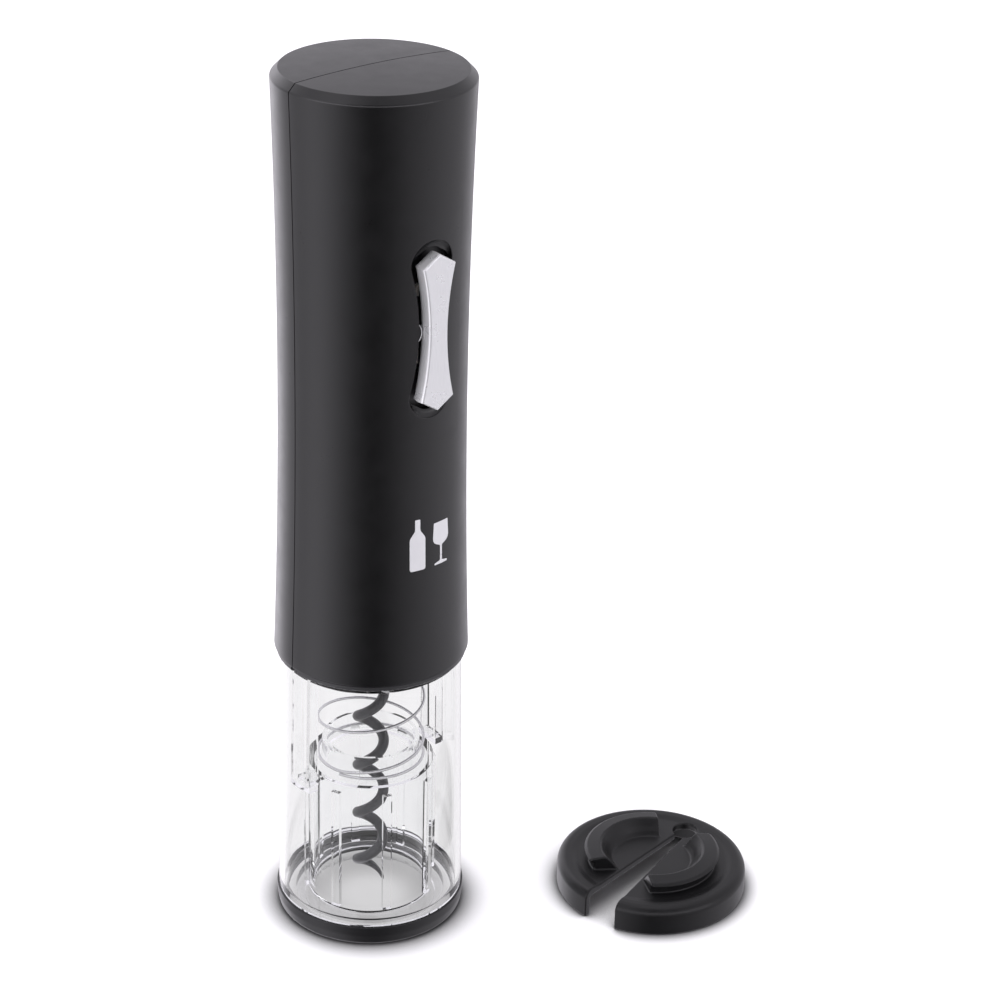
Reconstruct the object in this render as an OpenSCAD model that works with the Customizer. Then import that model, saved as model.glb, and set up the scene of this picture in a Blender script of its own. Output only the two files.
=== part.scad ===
// Battery wine opener with its separate foil cutter.
// The origin is on the floor, on the opener's axis. +Z is up and the rocker button faces -Y.

/* [Housing] */
// Height of the top face's edge above the floor
overall_h = 240; // [238:0.5:244]
// Rise of the domed top face at its centre
crown_h = 0.8; // [0.4:0.1:1.4]
// Outer radius at the waist
waist_r = 24.35; // [24.2:0.05:25]
// Height of the waist above the floor
waist_z = 165; // [160:1:170]
// Radius of the long curve that flares the sides out from the waist
flare_r = 2150; // [2000:50:2400]
// Chamfer around the top face
top_chamfer = 2; // [1:0.5:3]
// Wall thickness of the two shells
shell_t = 1.9; // [1.6:0.1:1.9]
// Height of the shells' lower edge
shell_bottom = 81; // [81:0.1:81.5]
// Width of the seam between the two shells
seam_gap = 0.3; // [0.3:0.05:0.5]

/* [Clear section] */
// Outer radius of the clear tube just above the base ring
tube_foot_r = 25.45; // [25.2:0.05:25.6]
// Outer radius of the clear tube just under the housing
tube_head_r = 24.3; // [24:0.05:24.5]
// Wall thickness of the clear tube
tube_t = 1.6; // [1.2:0.1:1.8]
// Radius of the bottle opening in the tube's floor
mouth_r = 16.4; // [16.2:0.1:17]
// Height of the base ring
base_h = 5.8; // [5.6:0.1:6.2]
// Outer radius of the base ring
base_r = 25.9; // [25.8:0.1:26.3]
// Radius of the socket under the tube's floor, which the foil cutter clips into
socket_r = 18.2; // [18.1:0.1:18.4]

/* [Neck guide] */
// Radius of the bore that takes the bottle's lip
guide_bore_r = 15.7; // [15.4:0.1:15.8]
// Outer radius of the guide's skirt
guide_skirt_r = 17.2; // [17.1:0.1:17.4]
// Height of the shoulder that the spring presses on
guide_shoulder_z = 46; // [45.6:0.1:46.2]
// Height of the cup that centres the spring
guide_cup_z = 52; // [50:0.5:53]
// Number of vertical ribs on the skirt
guide_ribs = 8; // [6:1:10]

/* [Worm and spring] */
// Outer radius of the worm
worm_r = 5; // [4.6:0.1:5.2]
// Radius of the worm's wire
worm_wire_r = 1.45; // [1.3:0.05:1.5]
// Rise of one turn of the worm
worm_pitch = 15.3; // [14:0.1:16]
// Height of the worm's point
worm_tip_z = 4.8; // [4.7:0.1:6]
// Mean radius of the guide spring
spring_r = 14.4; // [14.2:0.1:14.6]
// Radius of the spring's wire
spring_wire_r = 0.4; // [0.35:0.05:0.45]
// Rise of one open turn of the spring
spring_pitch = 12.6; // [12:0.1:13]

/* [Rocker button] */
// Height of the button's centre
button_z = 178.9; // [178:0.1:180]
// Length from point to point
button_l = 41.8; // [40:0.2:42]
// Width at the shoulders of the points
button_w = 10.1; // [9.6:0.1:10.3]
// Width at the waist
button_waist_w = 5.7; // [5.4:0.1:6]
// Distance of the button's face from the opener's axis
button_face = 27.2; // [26.8:0.1:27.6]
// Width of the recess at its round ends
recess_w = 12.6; // [12.4:0.1:13]
// Width of the recess at its waist
recess_waist_w = 7.6; // [7.4:0.1:8]
// Length of the recess
recess_l = 47.2; // [47:0.1:48]

/* [Drive] */
// Gear module of both planetary stages
gear_m = 0.6; // [0.6:0.01:0.6]
// Teeth of each sun gear
sun_teeth = 12; // [12:1:12]
// Teeth of each planet gear
planet_teeth = 18; // [18:1:18]
// Teeth of the ring that both stages share
ring_teeth = 48; // [48:1:48]
// Radius of the motor's can
motor_r = 13.85; // [13.5:0.05:13.9]
// Radius of an AA cell
cell_r = 7.1; // [6.9:0.05:7.1]
// Length of an AA cell
cell_l = 50.5; // [49.5:0.1:50.5]

/* [Foil cutter] */
// Place of the cutter's centre to the right of the opener
cutter_x = 66.8; // [60:0.2:80]
// Place of the cutter's centre behind the opener's axis
cutter_y = -43.6; // [-50:0.2:-40]
// Outer radius of the cutter
cutter_r = 26.6; // [26.4:0.1:27.2]
// Height of the cutter's rim
cutter_h = 8.2; // [8:0.1:8.6]
// Direction of the slot, turned from +X
cutter_turn = 15.3; // [0:0.1:40]
// Radius of the cutting wheels
wheel_r = 4.2; // [4:0.1:4.4]

/* [Hidden] */
$fn = 96;

// Where the side curve's centre lies, and the radius of the housing at any height
flare_x = waist_r + flare_r;
function side_r(z) = flare_x - sqrt(flare_r * flare_r - (z - waist_z) * (z - waist_z));
rim_r = side_r(overall_h - top_chamfer);
disc_r = rim_r - top_chamfer;

// Heights of the clear section
socket_t = 1.2;
socket_foot_r = 22.8;
socket_cavity_r = 20.6;
floor_z = 3.9;
floor_t = 0.9;
tube_top = 79.2;
spigot_top = 88;
spigot_r = 22.4;
collar_lip_z = 79.3;
collar_lip_r = 25.4;
collar_r = 23.4;
collar_top = 89.8;

// Heights of the drive, from the frame's plate up to the motor
frame_z = 90;
cover_z = 93.5;
ring_z = 98.5;
output_disc_z = 99;
disc_t = 3;
planet_t = 6;
input_disc_z = 110.5;
input_disc_t = 2;
plate_z = 121;
motor_z = 124;
cap_z = 160;
gearbox_r = 17;
lug_ring_r = 18.5;
lug_angles = [90, 210, 330];
boss_x = 19.3;
boss_z = 128;
tray_boss_x = 18.6;
tray_boss_z = 176;
gear_centre = gear_m * (sun_teeth + planet_teeth) / 2;

// Battery compartment
tray_z = 168;
tray_top = 227.6;
tray_plate = 1.6;
contact_t = 0.4;
cells_y = 2.5;
cell_gap = 7.4;
contact_low = tray_z + tray_plate + contact_t;
contact_high = tray_top - tray_plate - contact_t;
cell_places = [[-1, -1, 0], [1, -1, 1], [1, 1, 0], [-1, 1, 1]];

// Switches
pivot_y = -20.4;
board_y = -15;
board_t = 1.2;
switch_z = 9;
switch_h = 3.5;
plunger_tip_y = -19.3;
bezel_floor_y = -20.6;
bezel_t = 1.2;
button_back_y = -23;
pin_r = 0.8;

// Foil cutter
deck_z = 7.8;
deck_t = 2;
wheel_ring_r = 17.6;
wheel_angles = [58, 122, 238, 302];
wheel_mid_z = 3.4;

// ---------- Shared shapes ----------

// Points of an arc about c, from angle a0 to a1
function arc(c, r, a0, a1, n = 6) =
    [for (i = [0:n]) let (a = a0 + (a1 - a0) * i / n) [c[0] + r * cos(a), c[1] + r * sin(a)]];

module ring(r_out, r_in, z0, z1) {
    translate([0, 0, z0]) difference() {
        cylinder(r = r_out, h = z1 - z0);
        translate([0, 0, -1]) cylinder(r = r_in, h = z1 - z0 + 2);
    }
}

module rod(r, z0, z1) {
    translate([0, 0, z0]) cylinder(r = r, h = z1 - z0);
}

// A cylinder that runs along Y from y0 to y1 at x, z
module y_rod(r, x, z, y0, y1) {
    translate([x, y0, z]) rotate([-90, 0, 0]) cylinder(r = r, h = y1 - y0, $fn = 48);
}

// A box given by its two corners
module block(a, b) {
    translate(a) cube([b[0] - a[0], b[1] - a[1], b[2] - a[2]]);
}

// A closed tube through the points p, with a radius for each point and s sides.
// Each ring stands square to the path and keeps its top side towards up.
function unit(v) = v / norm(v);
function heading(p, i) = unit(p[min(i + 1, len(p) - 1)] - p[max(i - 1, 0)]);
function ring_points(c, t, r, s, up) =
    let (u = unit(cross(t, up)), v = cross(u, t))
    [for (k = [0:s - 1]) c + r * (cos(360 * k / s) * u + sin(360 * k / s) * v)];
module swept_tube(p, r, s, up) {
    n = len(p);
    pts = [for (i = [0:n - 1]) each ring_points(p[i], heading(p, i), r[i], s, up)];
    sides = [for (i = [0:n - 2], k = [0:s - 1]) let (a = i * s + k, b = i * s + (k + 1) % s)
             each [[a, b, b + s], [a, b + s, a + s]]];
    polyhedron(pts, concat(sides,
        [for (k = [1:s - 2]) [0, k + 1, k]],
        [for (k = [1:s - 2]) [(n - 1) * s, (n - 1) * s + k, (n - 1) * s + k + 1]]), convexity = 8);
}

// ---------- Housing shells ----------

// Half outline of the housing, its walls moved in by inset
module housing_outline(inset) {
    top = overall_h - (inset > 0 ? inset + 0.3 : 0);
    slope = disc_r + overall_h - inset * sqrt(2);
    dome_r = (disc_r * disc_r + crown_h * crown_h) / (2 * crown_h);
    bottom = shell_bottom - (inset > 0 ? 1 : 0);
    difference() {
        intersection() {
            polygon([[0, bottom], [40, bottom], [40, slope - 40], [slope - top, top],
                     [slope - top, top + 2], [0, top + 2]]);
            if (inset > 0)
                square([60, top]);
            else
                translate([0, overall_h + crown_h - dome_r]) circle(r = dome_r, $fn = 720);
        }
        translate([flare_x, waist_z]) circle(r = flare_r + inset, $fn = 720);
    }
}

// One half of the housing: side is -1 for the front and 1 for the rear
module half_housing(side) {
    difference() {
        rotate_extrude() difference() {
            housing_outline(0);
            housing_outline(shell_t);
        }
        translate([-50, side < 0 ? -seam_gap / 2 : seam_gap / 2 - 60, 0]) cube([100, 60, 300]);
    }
}

// The outline of the recess, moved out by grow and centred on the button: two round ends, sides
// that curve in to the waist, and a round lug at each side of the waist
module recess_outline(grow) {
    end_r = recess_w / 2;
    end_z = recess_l / 2 - end_r;
    inset = (recess_w - recess_waist_w) / 2;
    side_arc_r = (end_z * end_z + inset * inset) / (2 * inset);
    lug_r = 3.2;
    lug_x = 6.35;
    difference() {
        union() {
            square([2 * (end_r + grow), 2 * end_z], center = true);
            for (s = [-1, 1])
                translate([0, s * end_z]) circle(r = end_r + grow, $fn = 64);
        }
        for (s = [-1, 1]) {
            translate([s * (recess_waist_w / 2 + side_arc_r), 0]) circle(r = side_arc_r - grow, $fn = 360);
            translate([s * lug_x, 0]) circle(r = lug_r - grow, $fn = 64);
        }
    }
}

module recess_prism(grow, y0, y1) {
    translate([0, y1, button_z]) rotate([90, 0, 0]) linear_extrude(y1 - y0) recess_outline(grow);
}

// Boss that grows out of the front shell's inner face towards the rear, with a pilot hole
module screw_boss(x, z) {
    boss_r = 2.2;
    root_y = -sqrt(pow(side_r(z) - shell_t / 2, 2) - pow(abs(x) + boss_r, 2));
    difference() {
        y_rod(boss_r, x, z, root_y, -2.3);
        y_rod(0.9, x, z, -9.6, -2);
    }
}

module front_shell() {
    color("#1b1b1d") {
        difference() {
            half_housing(-1);
            recess_prism(0, -40, -15);
        }
        for (s = [-1, 1]) {
            screw_boss(s * boss_x, boss_z);
            screw_boss(s * tray_boss_x, tray_boss_z);
        }
    }
}

// The whole rear half lifts off for the batteries. Four tongues locate it in the front shell.
module rear_cover() {
    color("#1b1b1d") {
        difference() {
            half_housing(1);
            for (s = [-1, 1])
                translate([s * 26, 0, shell_bottom - 1]) cylinder(r = 1.6, h = 4, $fn = 32);
        }
        for (s = [-1, 1], z = [142, 192])
            mirror([s > 0 ? 0 : 1, 0, 0]) {
                block([19.6, -4, z], [21.3, 1, z + 8]);
                block([19.6, seam_gap / 2, z], [23.1, 5, z + 8]);
            }
    }
}

// ---------- Clear section ----------

// Ring that carries the clear tube: its lip shows under the shells
module collar() {
    color("#2a2a2c") difference() {
        rotate_extrude() polygon([[spigot_r + 0.15, collar_lip_z], [collar_lip_r - 0.4, collar_lip_z],
            [collar_lip_r, collar_lip_z + 0.4], [collar_lip_r, shell_bottom - 0.3],
            [collar_r, shell_bottom - 0.3], [collar_r, collar_top], [21.2, collar_top],
            [21.2, spigot_top + 0.2], [spigot_r + 0.15, spigot_top + 0.2]]);
        for (s = [-1, 1])
            translate([s * 26, 0, collar_lip_z - 1]) cylinder(r = 1.6, h = 2.6, $fn = 32);
    }
}

// Outer radius of the tube's foot, inside the base ring
foot_spigot_r = base_r - 1.5;

// Solid half outline of the tube, its sides moved in by inset
module tube_outline(inset, z0, z1) {
    polygon([[0, z0], [foot_spigot_r - inset, z0], [foot_spigot_r - inset, base_h + 0.1],
             [tube_foot_r - inset, base_h + 0.1], [tube_head_r - inset, tube_top],
             [spigot_r - inset, tube_top], [spigot_r - inset, z1], [0, z1]]);
}

module clear_tube() {
    channel = 3.3;
    rib_t = 1;
    stop_z = 43.2;
    color("#e8f0f2", 0.35) {
        difference() {
            union() {
                rotate_extrude() tube_outline(0, socket_t + 0.1, spigot_top);
                rod(socket_foot_r, 0, floor_z);
            }
            rotate_extrude() polygon([[0, floor_z + floor_t],
                [foot_spigot_r - tube_t, floor_z + floor_t],
                [foot_spigot_r - tube_t, base_h + 1], [tube_foot_r - tube_t, base_h + 2],
                [tube_head_r - tube_t, tube_top - 1.6], [spigot_r - tube_t, tube_top - 0.6],
                [spigot_r - tube_t, spigot_top + 1], [0, spigot_top + 1]]);
            rod(socket_r, -1, floor_z);
            rod(socket_cavity_r, socket_t, floor_z);
            rod(mouth_r, 0, floor_z + 2);
        }
        // Two channels that guide the neck guide's tabs, each with a stop under the tab
        intersection() {
            for (s = [-1, 1]) {
                for (e = [-1, 1])
                    block([s > 0 ? 20 : -24, e * channel - rib_t / 2, stop_z],
                          [s > 0 ? 24 : -20, e * channel + rib_t / 2, spigot_top - 0.4]);
                block([s > 0 ? 20 : -24, -channel, stop_z], [s > 0 ? 24 : -20, channel, stop_z + 1.4]);
            }
            rotate_extrude() tube_outline(0.4, 2, spigot_top);
        }
    }
}

module base_ring() {
    edge = 1.2;
    inner = foot_spigot_r + 0.1;
    lip = socket_foot_r + 0.1;
    color("#151516") rotate_extrude()
        polygon(concat([[lip, 0]], arc([base_r - 0.6 - edge, edge], edge, -90, 0, 5),
            [[base_r, base_h - 0.4], [base_r - 0.4, base_h], [inner, base_h],
             [inner, socket_t], [lip, socket_t]]));
}

// ---------- Neck guide ----------

module neck_guide() {
    skirt_foot = floor_z + floor_t + 0.4;
    shoulder_t = 1.6;
    cup_r = 13.3;
    rib_h = 1.2;
    rib_w = 2.4;
    tab_t = 1;
    tab_reach = 22;
    color("#eef4f5", 0.35) {
        rotate_extrude() polygon([[cup_r - 1.2, guide_shoulder_z - shoulder_t],
            [guide_bore_r, guide_shoulder_z - shoulder_t], [guide_bore_r, skirt_foot + 0.8],
            [guide_bore_r + 0.5, skirt_foot], [guide_skirt_r, skirt_foot],
            [guide_skirt_r, guide_shoulder_z], [cup_r, guide_shoulder_z],
            [cup_r, guide_cup_z - 0.4], [cup_r - 0.4, guide_cup_z], [cup_r - 1.2, guide_cup_z]]);
        for (i = [0:guide_ribs - 1])
            rotate([0, 0, 22.5 + 360 * i / guide_ribs])
                block([guide_skirt_r - 0.5, -rib_w / 2, skirt_foot + 1.5],
                      [guide_skirt_r + rib_h, rib_w / 2, guide_shoulder_z - 3]);
        for (s = [-1, 1])
            block([s > 0 ? guide_skirt_r - 0.5 : -tab_reach, -2.4, guide_shoulder_z - tab_t],
                  [s > 0 ? tab_reach : 0.5 - guide_skirt_r, 2.4, guide_shoulder_z]);
    }
}

// Right-hand coil that stands on the guide's shoulder, with a closed turn at each end
module guide_spring() {
    steps = 20;
    close_rise = 2.2 * spring_wire_r;
    z0 = guide_shoulder_z + spring_wire_r + 0.05;
    z1 = frame_z - spring_wire_r - 0.05;
    open_turns = (z1 - z0 - 2 * close_rise) / spring_pitch;
    turns = open_turns + 2;
    start = -37 - 360 * ((51.7 - z0 - close_rise) / spring_pitch + 1);
    function height(t) = t < 1 ? z0 + t * close_rise
        : t < 1 + open_turns ? z0 + close_rise + (t - 1) * spring_pitch
        : z1 - (turns - t) * close_rise;
    n = ceil(turns * steps);
    path = [for (i = [0:n]) let (t = turns * i / n, a = start + 360 * t)
            [spring_r * cos(a), spring_r * sin(a), height(t)]];
    color("#c8ccd0") swept_tube(path, [for (i = [0:n]) spring_wire_r], 8, [0, 0, 1]);
}

// ---------- Worm, chuck and output shaft ----------

// The worm's wire: a sharpened point, the turns, then a straight shank on the axis
module worm() {
    coil_r = worm_r - worm_wire_r;
    coil_top = 75;
    shank_z = 79.5;
    shank_top = 85.2;
    turn_at = 50;
    steps = 22;
    n = ceil((coil_top - worm_tip_z) / worm_pitch * steps);
    m = 8;
    function turn(z) = -37 + 360 * (z - turn_at) / worm_pitch;
    function reach(z) = z < coil_top ? coil_r : coil_r * max(0, 1 - pow((z - coil_top) / (shank_z - coil_top), 2));
    coil = [for (i = [0:n]) worm_tip_z + (coil_top - worm_tip_z) * i / n];
    blend = [for (i = [1:m]) coil_top + (shank_z - coil_top) * i / m];
    zs = concat(coil, blend, [shank_z + 2, shank_top]);
    path = [for (z = zs) [reach(z) * cos(turn(z)), reach(z) * sin(turn(z)), z]];
    point_l = 6;
    radii = [for (z = zs) worm_wire_r * min(1, 0.12 + 0.88 * pow((z - worm_tip_z) / point_l, 0.7))];
    color("#4b4c50") swept_tube(path, radii, 12, [1, 0, 0]);
}

module worm_chuck() {
    color("#3a3b3e") difference() {
        rotate_extrude() polygon([[0, 79.5], [5.5, 79.5], [6.5, 80.5], [6.5, 91.5], [0, 91.5]]);
        rod(worm_wire_r + 0.05, 78, 86);
        rod(4, 85.5, 92);
        y_rod(0.9, 0, 88.5, -8, 8);
    }
}

module chuck_pin() {
    color("#b8bbbf") y_rod(0.9, 0, 88.5, -6.3, 6.3);
}

module output_shaft() {
    color("#9a9da2") difference() {
        rod(4, 85.7, output_disc_z + disc_t);
        y_rod(0.9, 0, 88.5, -8, 8);
    }
}

module output_bush() {
    color("#b5813f") ring(5.6, 4.05, 93, 98.6);
}

// ---------- Gearbox ----------

// Angle in degrees between a tooth's flank start and the point at radius r
function involute(base, r) = let (a = acos(min(1, base / r))) tan(a) * 180 / PI - a;

// Outline of an involute gear with z teeth; slack thins each flank and is negative for a hole
module gear_outline(z, tip, root, slack) {
    pitch_r = gear_m * z / 2;
    base = pitch_r * cos(20);
    low = max(base, root);
    flank = [for (i = [0:4]) let (r = low + (tip - low) * i / 4)
             [r, 90 / z - slack / pitch_r * 180 / PI + involute(base, pitch_r) - involute(base, r)]];
    one_side = concat([[root, flank[0][1]]], [for (p = flank) if (p[0] > root + 0.001) p]);
    last = len(one_side) - 1;
    polygon([for (k = [0:z - 1]) let (c = 360 * k / z) each concat(
        [for (p = one_side) [p[0] * cos(c - p[1]), p[0] * sin(c - p[1])]],
        [for (i = [last:-1:0]) let (p = one_side[i]) [p[0] * cos(c + p[1]), p[0] * sin(c + p[1])]])]);
}

module outer_gear(z, z0, z1) {
    pitch_r = gear_m * z / 2;
    translate([0, 0, z0]) linear_extrude(z1 - z0)
        gear_outline(z, pitch_r + 0.8 * gear_m, pitch_r - 1.1 * gear_m, 0.05);
}

// A planet at angle a about the axis, turned so that its teeth mesh with both sun and ring
module planet(a, z0) {
    rotate([0, 0, a]) translate([gear_centre, 0, 0]) rotate([0, 0, 180 - 180 / planet_teeth
        + a * sun_teeth / planet_teeth])
        difference() {
            outer_gear(planet_teeth, z0, z0 + planet_t);
            rod(1.06, z0 - 1, z0 + planet_t + 1);
        }
}

module lugs(z0, z1) {
    for (a = lug_angles)
        rotate([0, 0, a]) {
            translate([lug_ring_r, 0, 0]) rod(2.2, z0, z1);
            block([gearbox_r - 1.5, -2.2, z0], [lug_ring_r, 2.2, z1]);
        }
}

module lug_holes(r, z0, z1) {
    for (a = lug_angles)
        rotate([0, 0, a]) translate([lug_ring_r, 0, 0]) rod(r, z0, z1);
}

// Plate that the spring seats against, with two rails up to the housing's screw bosses
module drive_frame() {
    color("#2c2c2e") {
        difference() {
            rod(23.1, frame_z, cover_z);
            rod(7.5, frame_z - 1, cover_z + 1);
            lug_holes(1.35, frame_z - 1, cover_z + 1);
            lug_holes(2.6, frame_z - 1, frame_z + 1.7);
        }
        for (s = [-1, 1])
            difference() {
                union() {
                    block([s > 0 ? 17.4 : -19.4, -2, cover_z - 0.5], [s > 0 ? 19.4 : -17.4, 4, 132]);
                    block([s > 0 ? 17.4 : -21.6, -2, boss_z - 4], [s > 0 ? 21.6 : -17.4, -0.4, boss_z + 4]);
                }
                y_rod(1.1, s * boss_x, boss_z, -3, 1);
                y_rod(2.1, s * boss_x, boss_z, -0.4, 5);
            }
    }
}

module gearbox_cover() {
    color("#3b3c3f") difference() {
        union() {
            rod(gearbox_r, cover_z, ring_z);
            lugs(cover_z, ring_z);
        }
        rod(5.6, cover_z - 1, ring_z + 1);
        lug_holes(1.35, cover_z - 1, ring_z + 1);
    }
}

module gearbox_housing() {
    ring_pitch_r = gear_m * ring_teeth / 2;
    color("#55575b") difference() {
        union() {
            rod(gearbox_r, ring_z, plate_z);
            lugs(ring_z, plate_z);
        }
        translate([0, 0, ring_z - 1]) linear_extrude(plate_z - ring_z + 2)
            rotate([0, 0, 180 / ring_teeth])
                gear_outline(ring_teeth, ring_pitch_r + 1.1 * gear_m, ring_pitch_r - 0.8 * gear_m, -0.05);
        lug_holes(1.35, ring_z - 1, plate_z + 1);
    }
}

module motor_plate() {
    color("#3b3c3f") difference() {
        union() {
            rod(gearbox_r, plate_z, motor_z);
            lugs(plate_z, motor_z);
        }
        rod(3.4, plate_z - 1, motor_z + 1);
        lug_holes(1.2, plate_z - 1, motor_z - 0.6);
        for (s = [-1, 1])
            translate([8 * s, 0, 0]) {
                rod(1.3, plate_z - 1, motor_z + 1);
                rod(2.3, plate_z - 1, plate_z + 1.5);
            }
    }
}

// Disc with three pins for the planets
module carrier(z0, t) {
    rod(10.8, z0, z0 + t);
    for (a = [0, 120, 240])
        rotate([0, 0, a]) translate([gear_centre, 0, 0]) rod(1, z0 + t - 0.2, z0 + t + 7);
}

module output_carrier() {
    color("#8d9095") difference() {
        carrier(output_disc_z, disc_t);
        rod(4, output_disc_z - 1, output_disc_z + disc_t + 1);
    }
}

// The input carrier's underside is the output stage's sun gear
module input_carrier() {
    color("#8d9095") {
        carrier(input_disc_z, input_disc_t);
        outer_gear(sun_teeth, output_disc_z + disc_t + 0.5, input_disc_z + 0.2);
    }
}

output_planet_z = output_disc_z + disc_t + 0.5;
input_planet_z = input_disc_z + input_disc_t + 0.5;
module output_planet_a() { color("#d9d4c6") planet(0, output_planet_z); }
module output_planet_b() { color("#d9d4c6") planet(120, output_planet_z); }
module output_planet_c() { color("#d9d4c6") planet(240, output_planet_z); }
module input_planet_a() { color("#d9d4c6") planet(0, input_planet_z); }
module input_planet_b() { color("#d9d4c6") planet(120, input_planet_z); }
module input_planet_c() { color("#d9d4c6") planet(240, input_planet_z); }

module sun_pinion() {
    color("#c9a24a") difference() {
        outer_gear(sun_teeth, input_planet_z + 0.3, input_planet_z + planet_t + 0.5);
        rod(1.15, input_planet_z - 1, plate_z);
    }
}

// ---------- Motor ----------

module motor_armature() {
    color("#7c6a58") {
        rod(1.15, input_planet_z + 0.3, cap_z + 1.8);
        difference() {
            rod(9.6, 132, 150);
            for (a = [0, 120, 240])
                rotate([0, 0, a]) block([6.5, -0.9, 131], [11, 0.9, 151]);
            for (a = [0, 120, 240])
                rotate([0, 0, a]) translate([6.2, 0, 0]) rod(1.8, 131, 151);
        }
        rod(3.2, 149.8, 157.5);
    }
}

module motor_can() {
    color("#a9acb1") difference() {
        rod(motor_r, motor_z, cap_z);
        rod(motor_r - 1.1, motor_z + 1.5, cap_z + 1);
        rod(3, motor_z - 1, motor_z + 2);
        for (s = [-1, 1])
            translate([8 * s, 0, 0]) rod(1.2, motor_z - 1, motor_z + 2);
        for (a = [45, 135])
            rotate([0, 0, a]) block([-20, -2.5, 153], [20, 2.5, 157]);
    }
}

module motor_magnets() {
    color("#4a4744") difference() {
        ring(motor_r - 1.2, 10.2, 130, 152);
        for (a = [0, 180])
            rotate([0, 0, a + 90]) block([5, -3, 129], [20, 3, 153]);
    }
}

module motor_bushes() {
    color("#b5813f") {
        ring(3, 1.2, motor_z - 0.4, motor_z + 3);
        ring(2.6, 1.2, cap_z + 0.2, cap_z + 1.9);
    }
}

module motor_end_cap() {
    color("#e4e1d8") difference() {
        union() {
            rod(motor_r - 0.3, cap_z, cap_z + 3);
            rod(motor_r - 1.2, cap_z - 2, cap_z + 0.1);
        }
        rod(2.6, cap_z - 3, cap_z + 1.9);
        rod(10, cap_z - 3, cap_z);
        for (s = [-1, 1])
            block([s * 7 - 1.6, -0.5, cap_z - 3], [s * 7 + 1.6, 0.5, cap_z + 4]);
    }
}

module motor_terminals() {
    color("#c9a24a") for (s = [-1, 1])
        difference() {
            block([s * 7 - 1.5, -0.4, cap_z + 0.2], [s * 7 + 1.5, 0.4, cap_z + 6]);
            y_rod(0.6, s * 7, cap_z + 4.9, -1, 1);
        }
}

// A lead from a motor terminal to the board's lower end, routed under the battery tray
module motor_lead(side) {
    lead_r = 0.6;
    route = [[7, -0.45, 163.9], [7, -1.6, 163.9], [6.8, -3.4, 164.8], [6.4, -5.6, 165.7],
             [5.8, -7.8, 165.8], [5.2, -10, 165.3], [4.6, -12.4, 164.6], [4.6, -13.75, 164.6]];
    path = [for (p = route) [side * p[0], p[1], p[2]]];
    swept_tube(path, [for (p = path) lead_r], 8, [0, 0, 1]);
}

module motor_lead_red() { color("#a01818") motor_lead(1); }
module motor_lead_black() { color("#202020") motor_lead(-1); }

// ---------- Rocker button and switches ----------

// Pan behind the window in the front shell, with two round ears that hold the pivot pin
module rocker_bezel() {
    rim_t = 1;
    rim_y = -22.4;
    reach_r = waist_r - shell_t - 0.2;
    ear_x = 3.3;
    ear_t = 2.1;
    ear_r = 1.3;
    color("#101011") difference() {
        union() {
            difference() {
                union() {
                    intersection() {
                        recess_prism(rim_t, rim_y, bezel_floor_y + 0.1);
                        rod(reach_r, button_z - recess_l, button_z + recess_l);
                    }
                    block([-8, bezel_floor_y, button_z - 27], [8, bezel_floor_y + bezel_t, button_z + 27]);
                }
                recess_prism(0, rim_y - 1, bezel_floor_y);
                for (s = [-1, 1])
                    translate([0, 0, button_z + s * switch_z])
                        block([-2.6, bezel_floor_y - 1, -2.8], [2.6, bezel_floor_y + 3, 2.8]);
                block([-3.1, bezel_floor_y - 1, button_z - 3], [3.1, bezel_floor_y + 3, button_z + 3]);
            }
            for (s = [-1, 1])
                translate([s > 0 ? ear_x : -ear_x - ear_t, pivot_y, button_z]) {
                    rotate([0, 90, 0]) cylinder(r = ear_r, h = ear_t, $fn = 48);
                    block([0, 0, -ear_r], [ear_t, bezel_floor_y + bezel_t - pivot_y, ear_r]);
                }
        }
        x_rod(pin_r, 6);
    }
}

// A cylinder of radius r on the rocker's pivot line, from -half_l to half_l
module x_rod(r, half_l) {
    translate([-half_l, pivot_y, button_z]) rotate([0, 90, 0]) cylinder(r = r, h = 2 * half_l, $fn = 48);
}

// One half of the button, with s = 1 for the upper half: bevelled edges around a flat face
module button_half(s) {
    bevel = 0.8;
    half_l = button_l / 2;
    point_l = 3.2;
    function outline(inset) = [[-button_waist_w / 2 + inset, 0], [button_waist_w / 2 - inset, 0],
        [button_w / 2 - inset, s * (half_l - point_l - 0.4 * inset)], [0, s * (half_l - inset)],
        [-button_w / 2 + inset, s * (half_l - point_l - 0.4 * inset)]];
    hull() {
        translate([0, -button_face + bevel, button_z]) rotate([90, 0, 0])
            linear_extrude(0.01) polygon(outline(0));
        translate([0, -button_face + 0.01, button_z]) rotate([90, 0, 0])
            linear_extrude(0.01) polygon(outline(bevel));
    }
    translate([0, button_back_y, button_z]) rotate([90, 0, 0])
        linear_extrude(button_face - bevel + button_back_y) polygon(outline(0));
}

// The button with its hub on the pivot pin and a leg over each switch
module rocker_button() {
    hub_r = 1.8;
    leg_tip_y = -20.25;
    color("#c9cbce") difference() {
        union() {
            button_half(1);
            button_half(-1);
            block([-2.6, button_back_y - 1, button_z - hub_r], [2.6, pivot_y, button_z + hub_r]);
            x_rod(hub_r, 2.6);
            for (s = [-1, 1])
                translate([0, 0, button_z + s * switch_z])
                    block([-1.3, button_back_y - 0.5, -1.5], [1.3, leg_tip_y, 1.5]);
        }
        x_rod(pin_r + 0.06, 6);
    }
}

module rocker_pin() {
    color("#b8bbbf") x_rod(pin_r, 5.3);
}

module switch_board() {
    color("#2f6b3c") block([-7.5, board_y, 162], [7.5, board_y + board_t, 199]);
}

module tact_switch(z) {
    difference() {
        block([-3, board_y - switch_h, z - 3], [3, board_y, z + 3]);
        y_rod(1.75, 0, z, board_y - switch_h - 1, board_y - switch_h + 1.5);
    }
}

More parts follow.
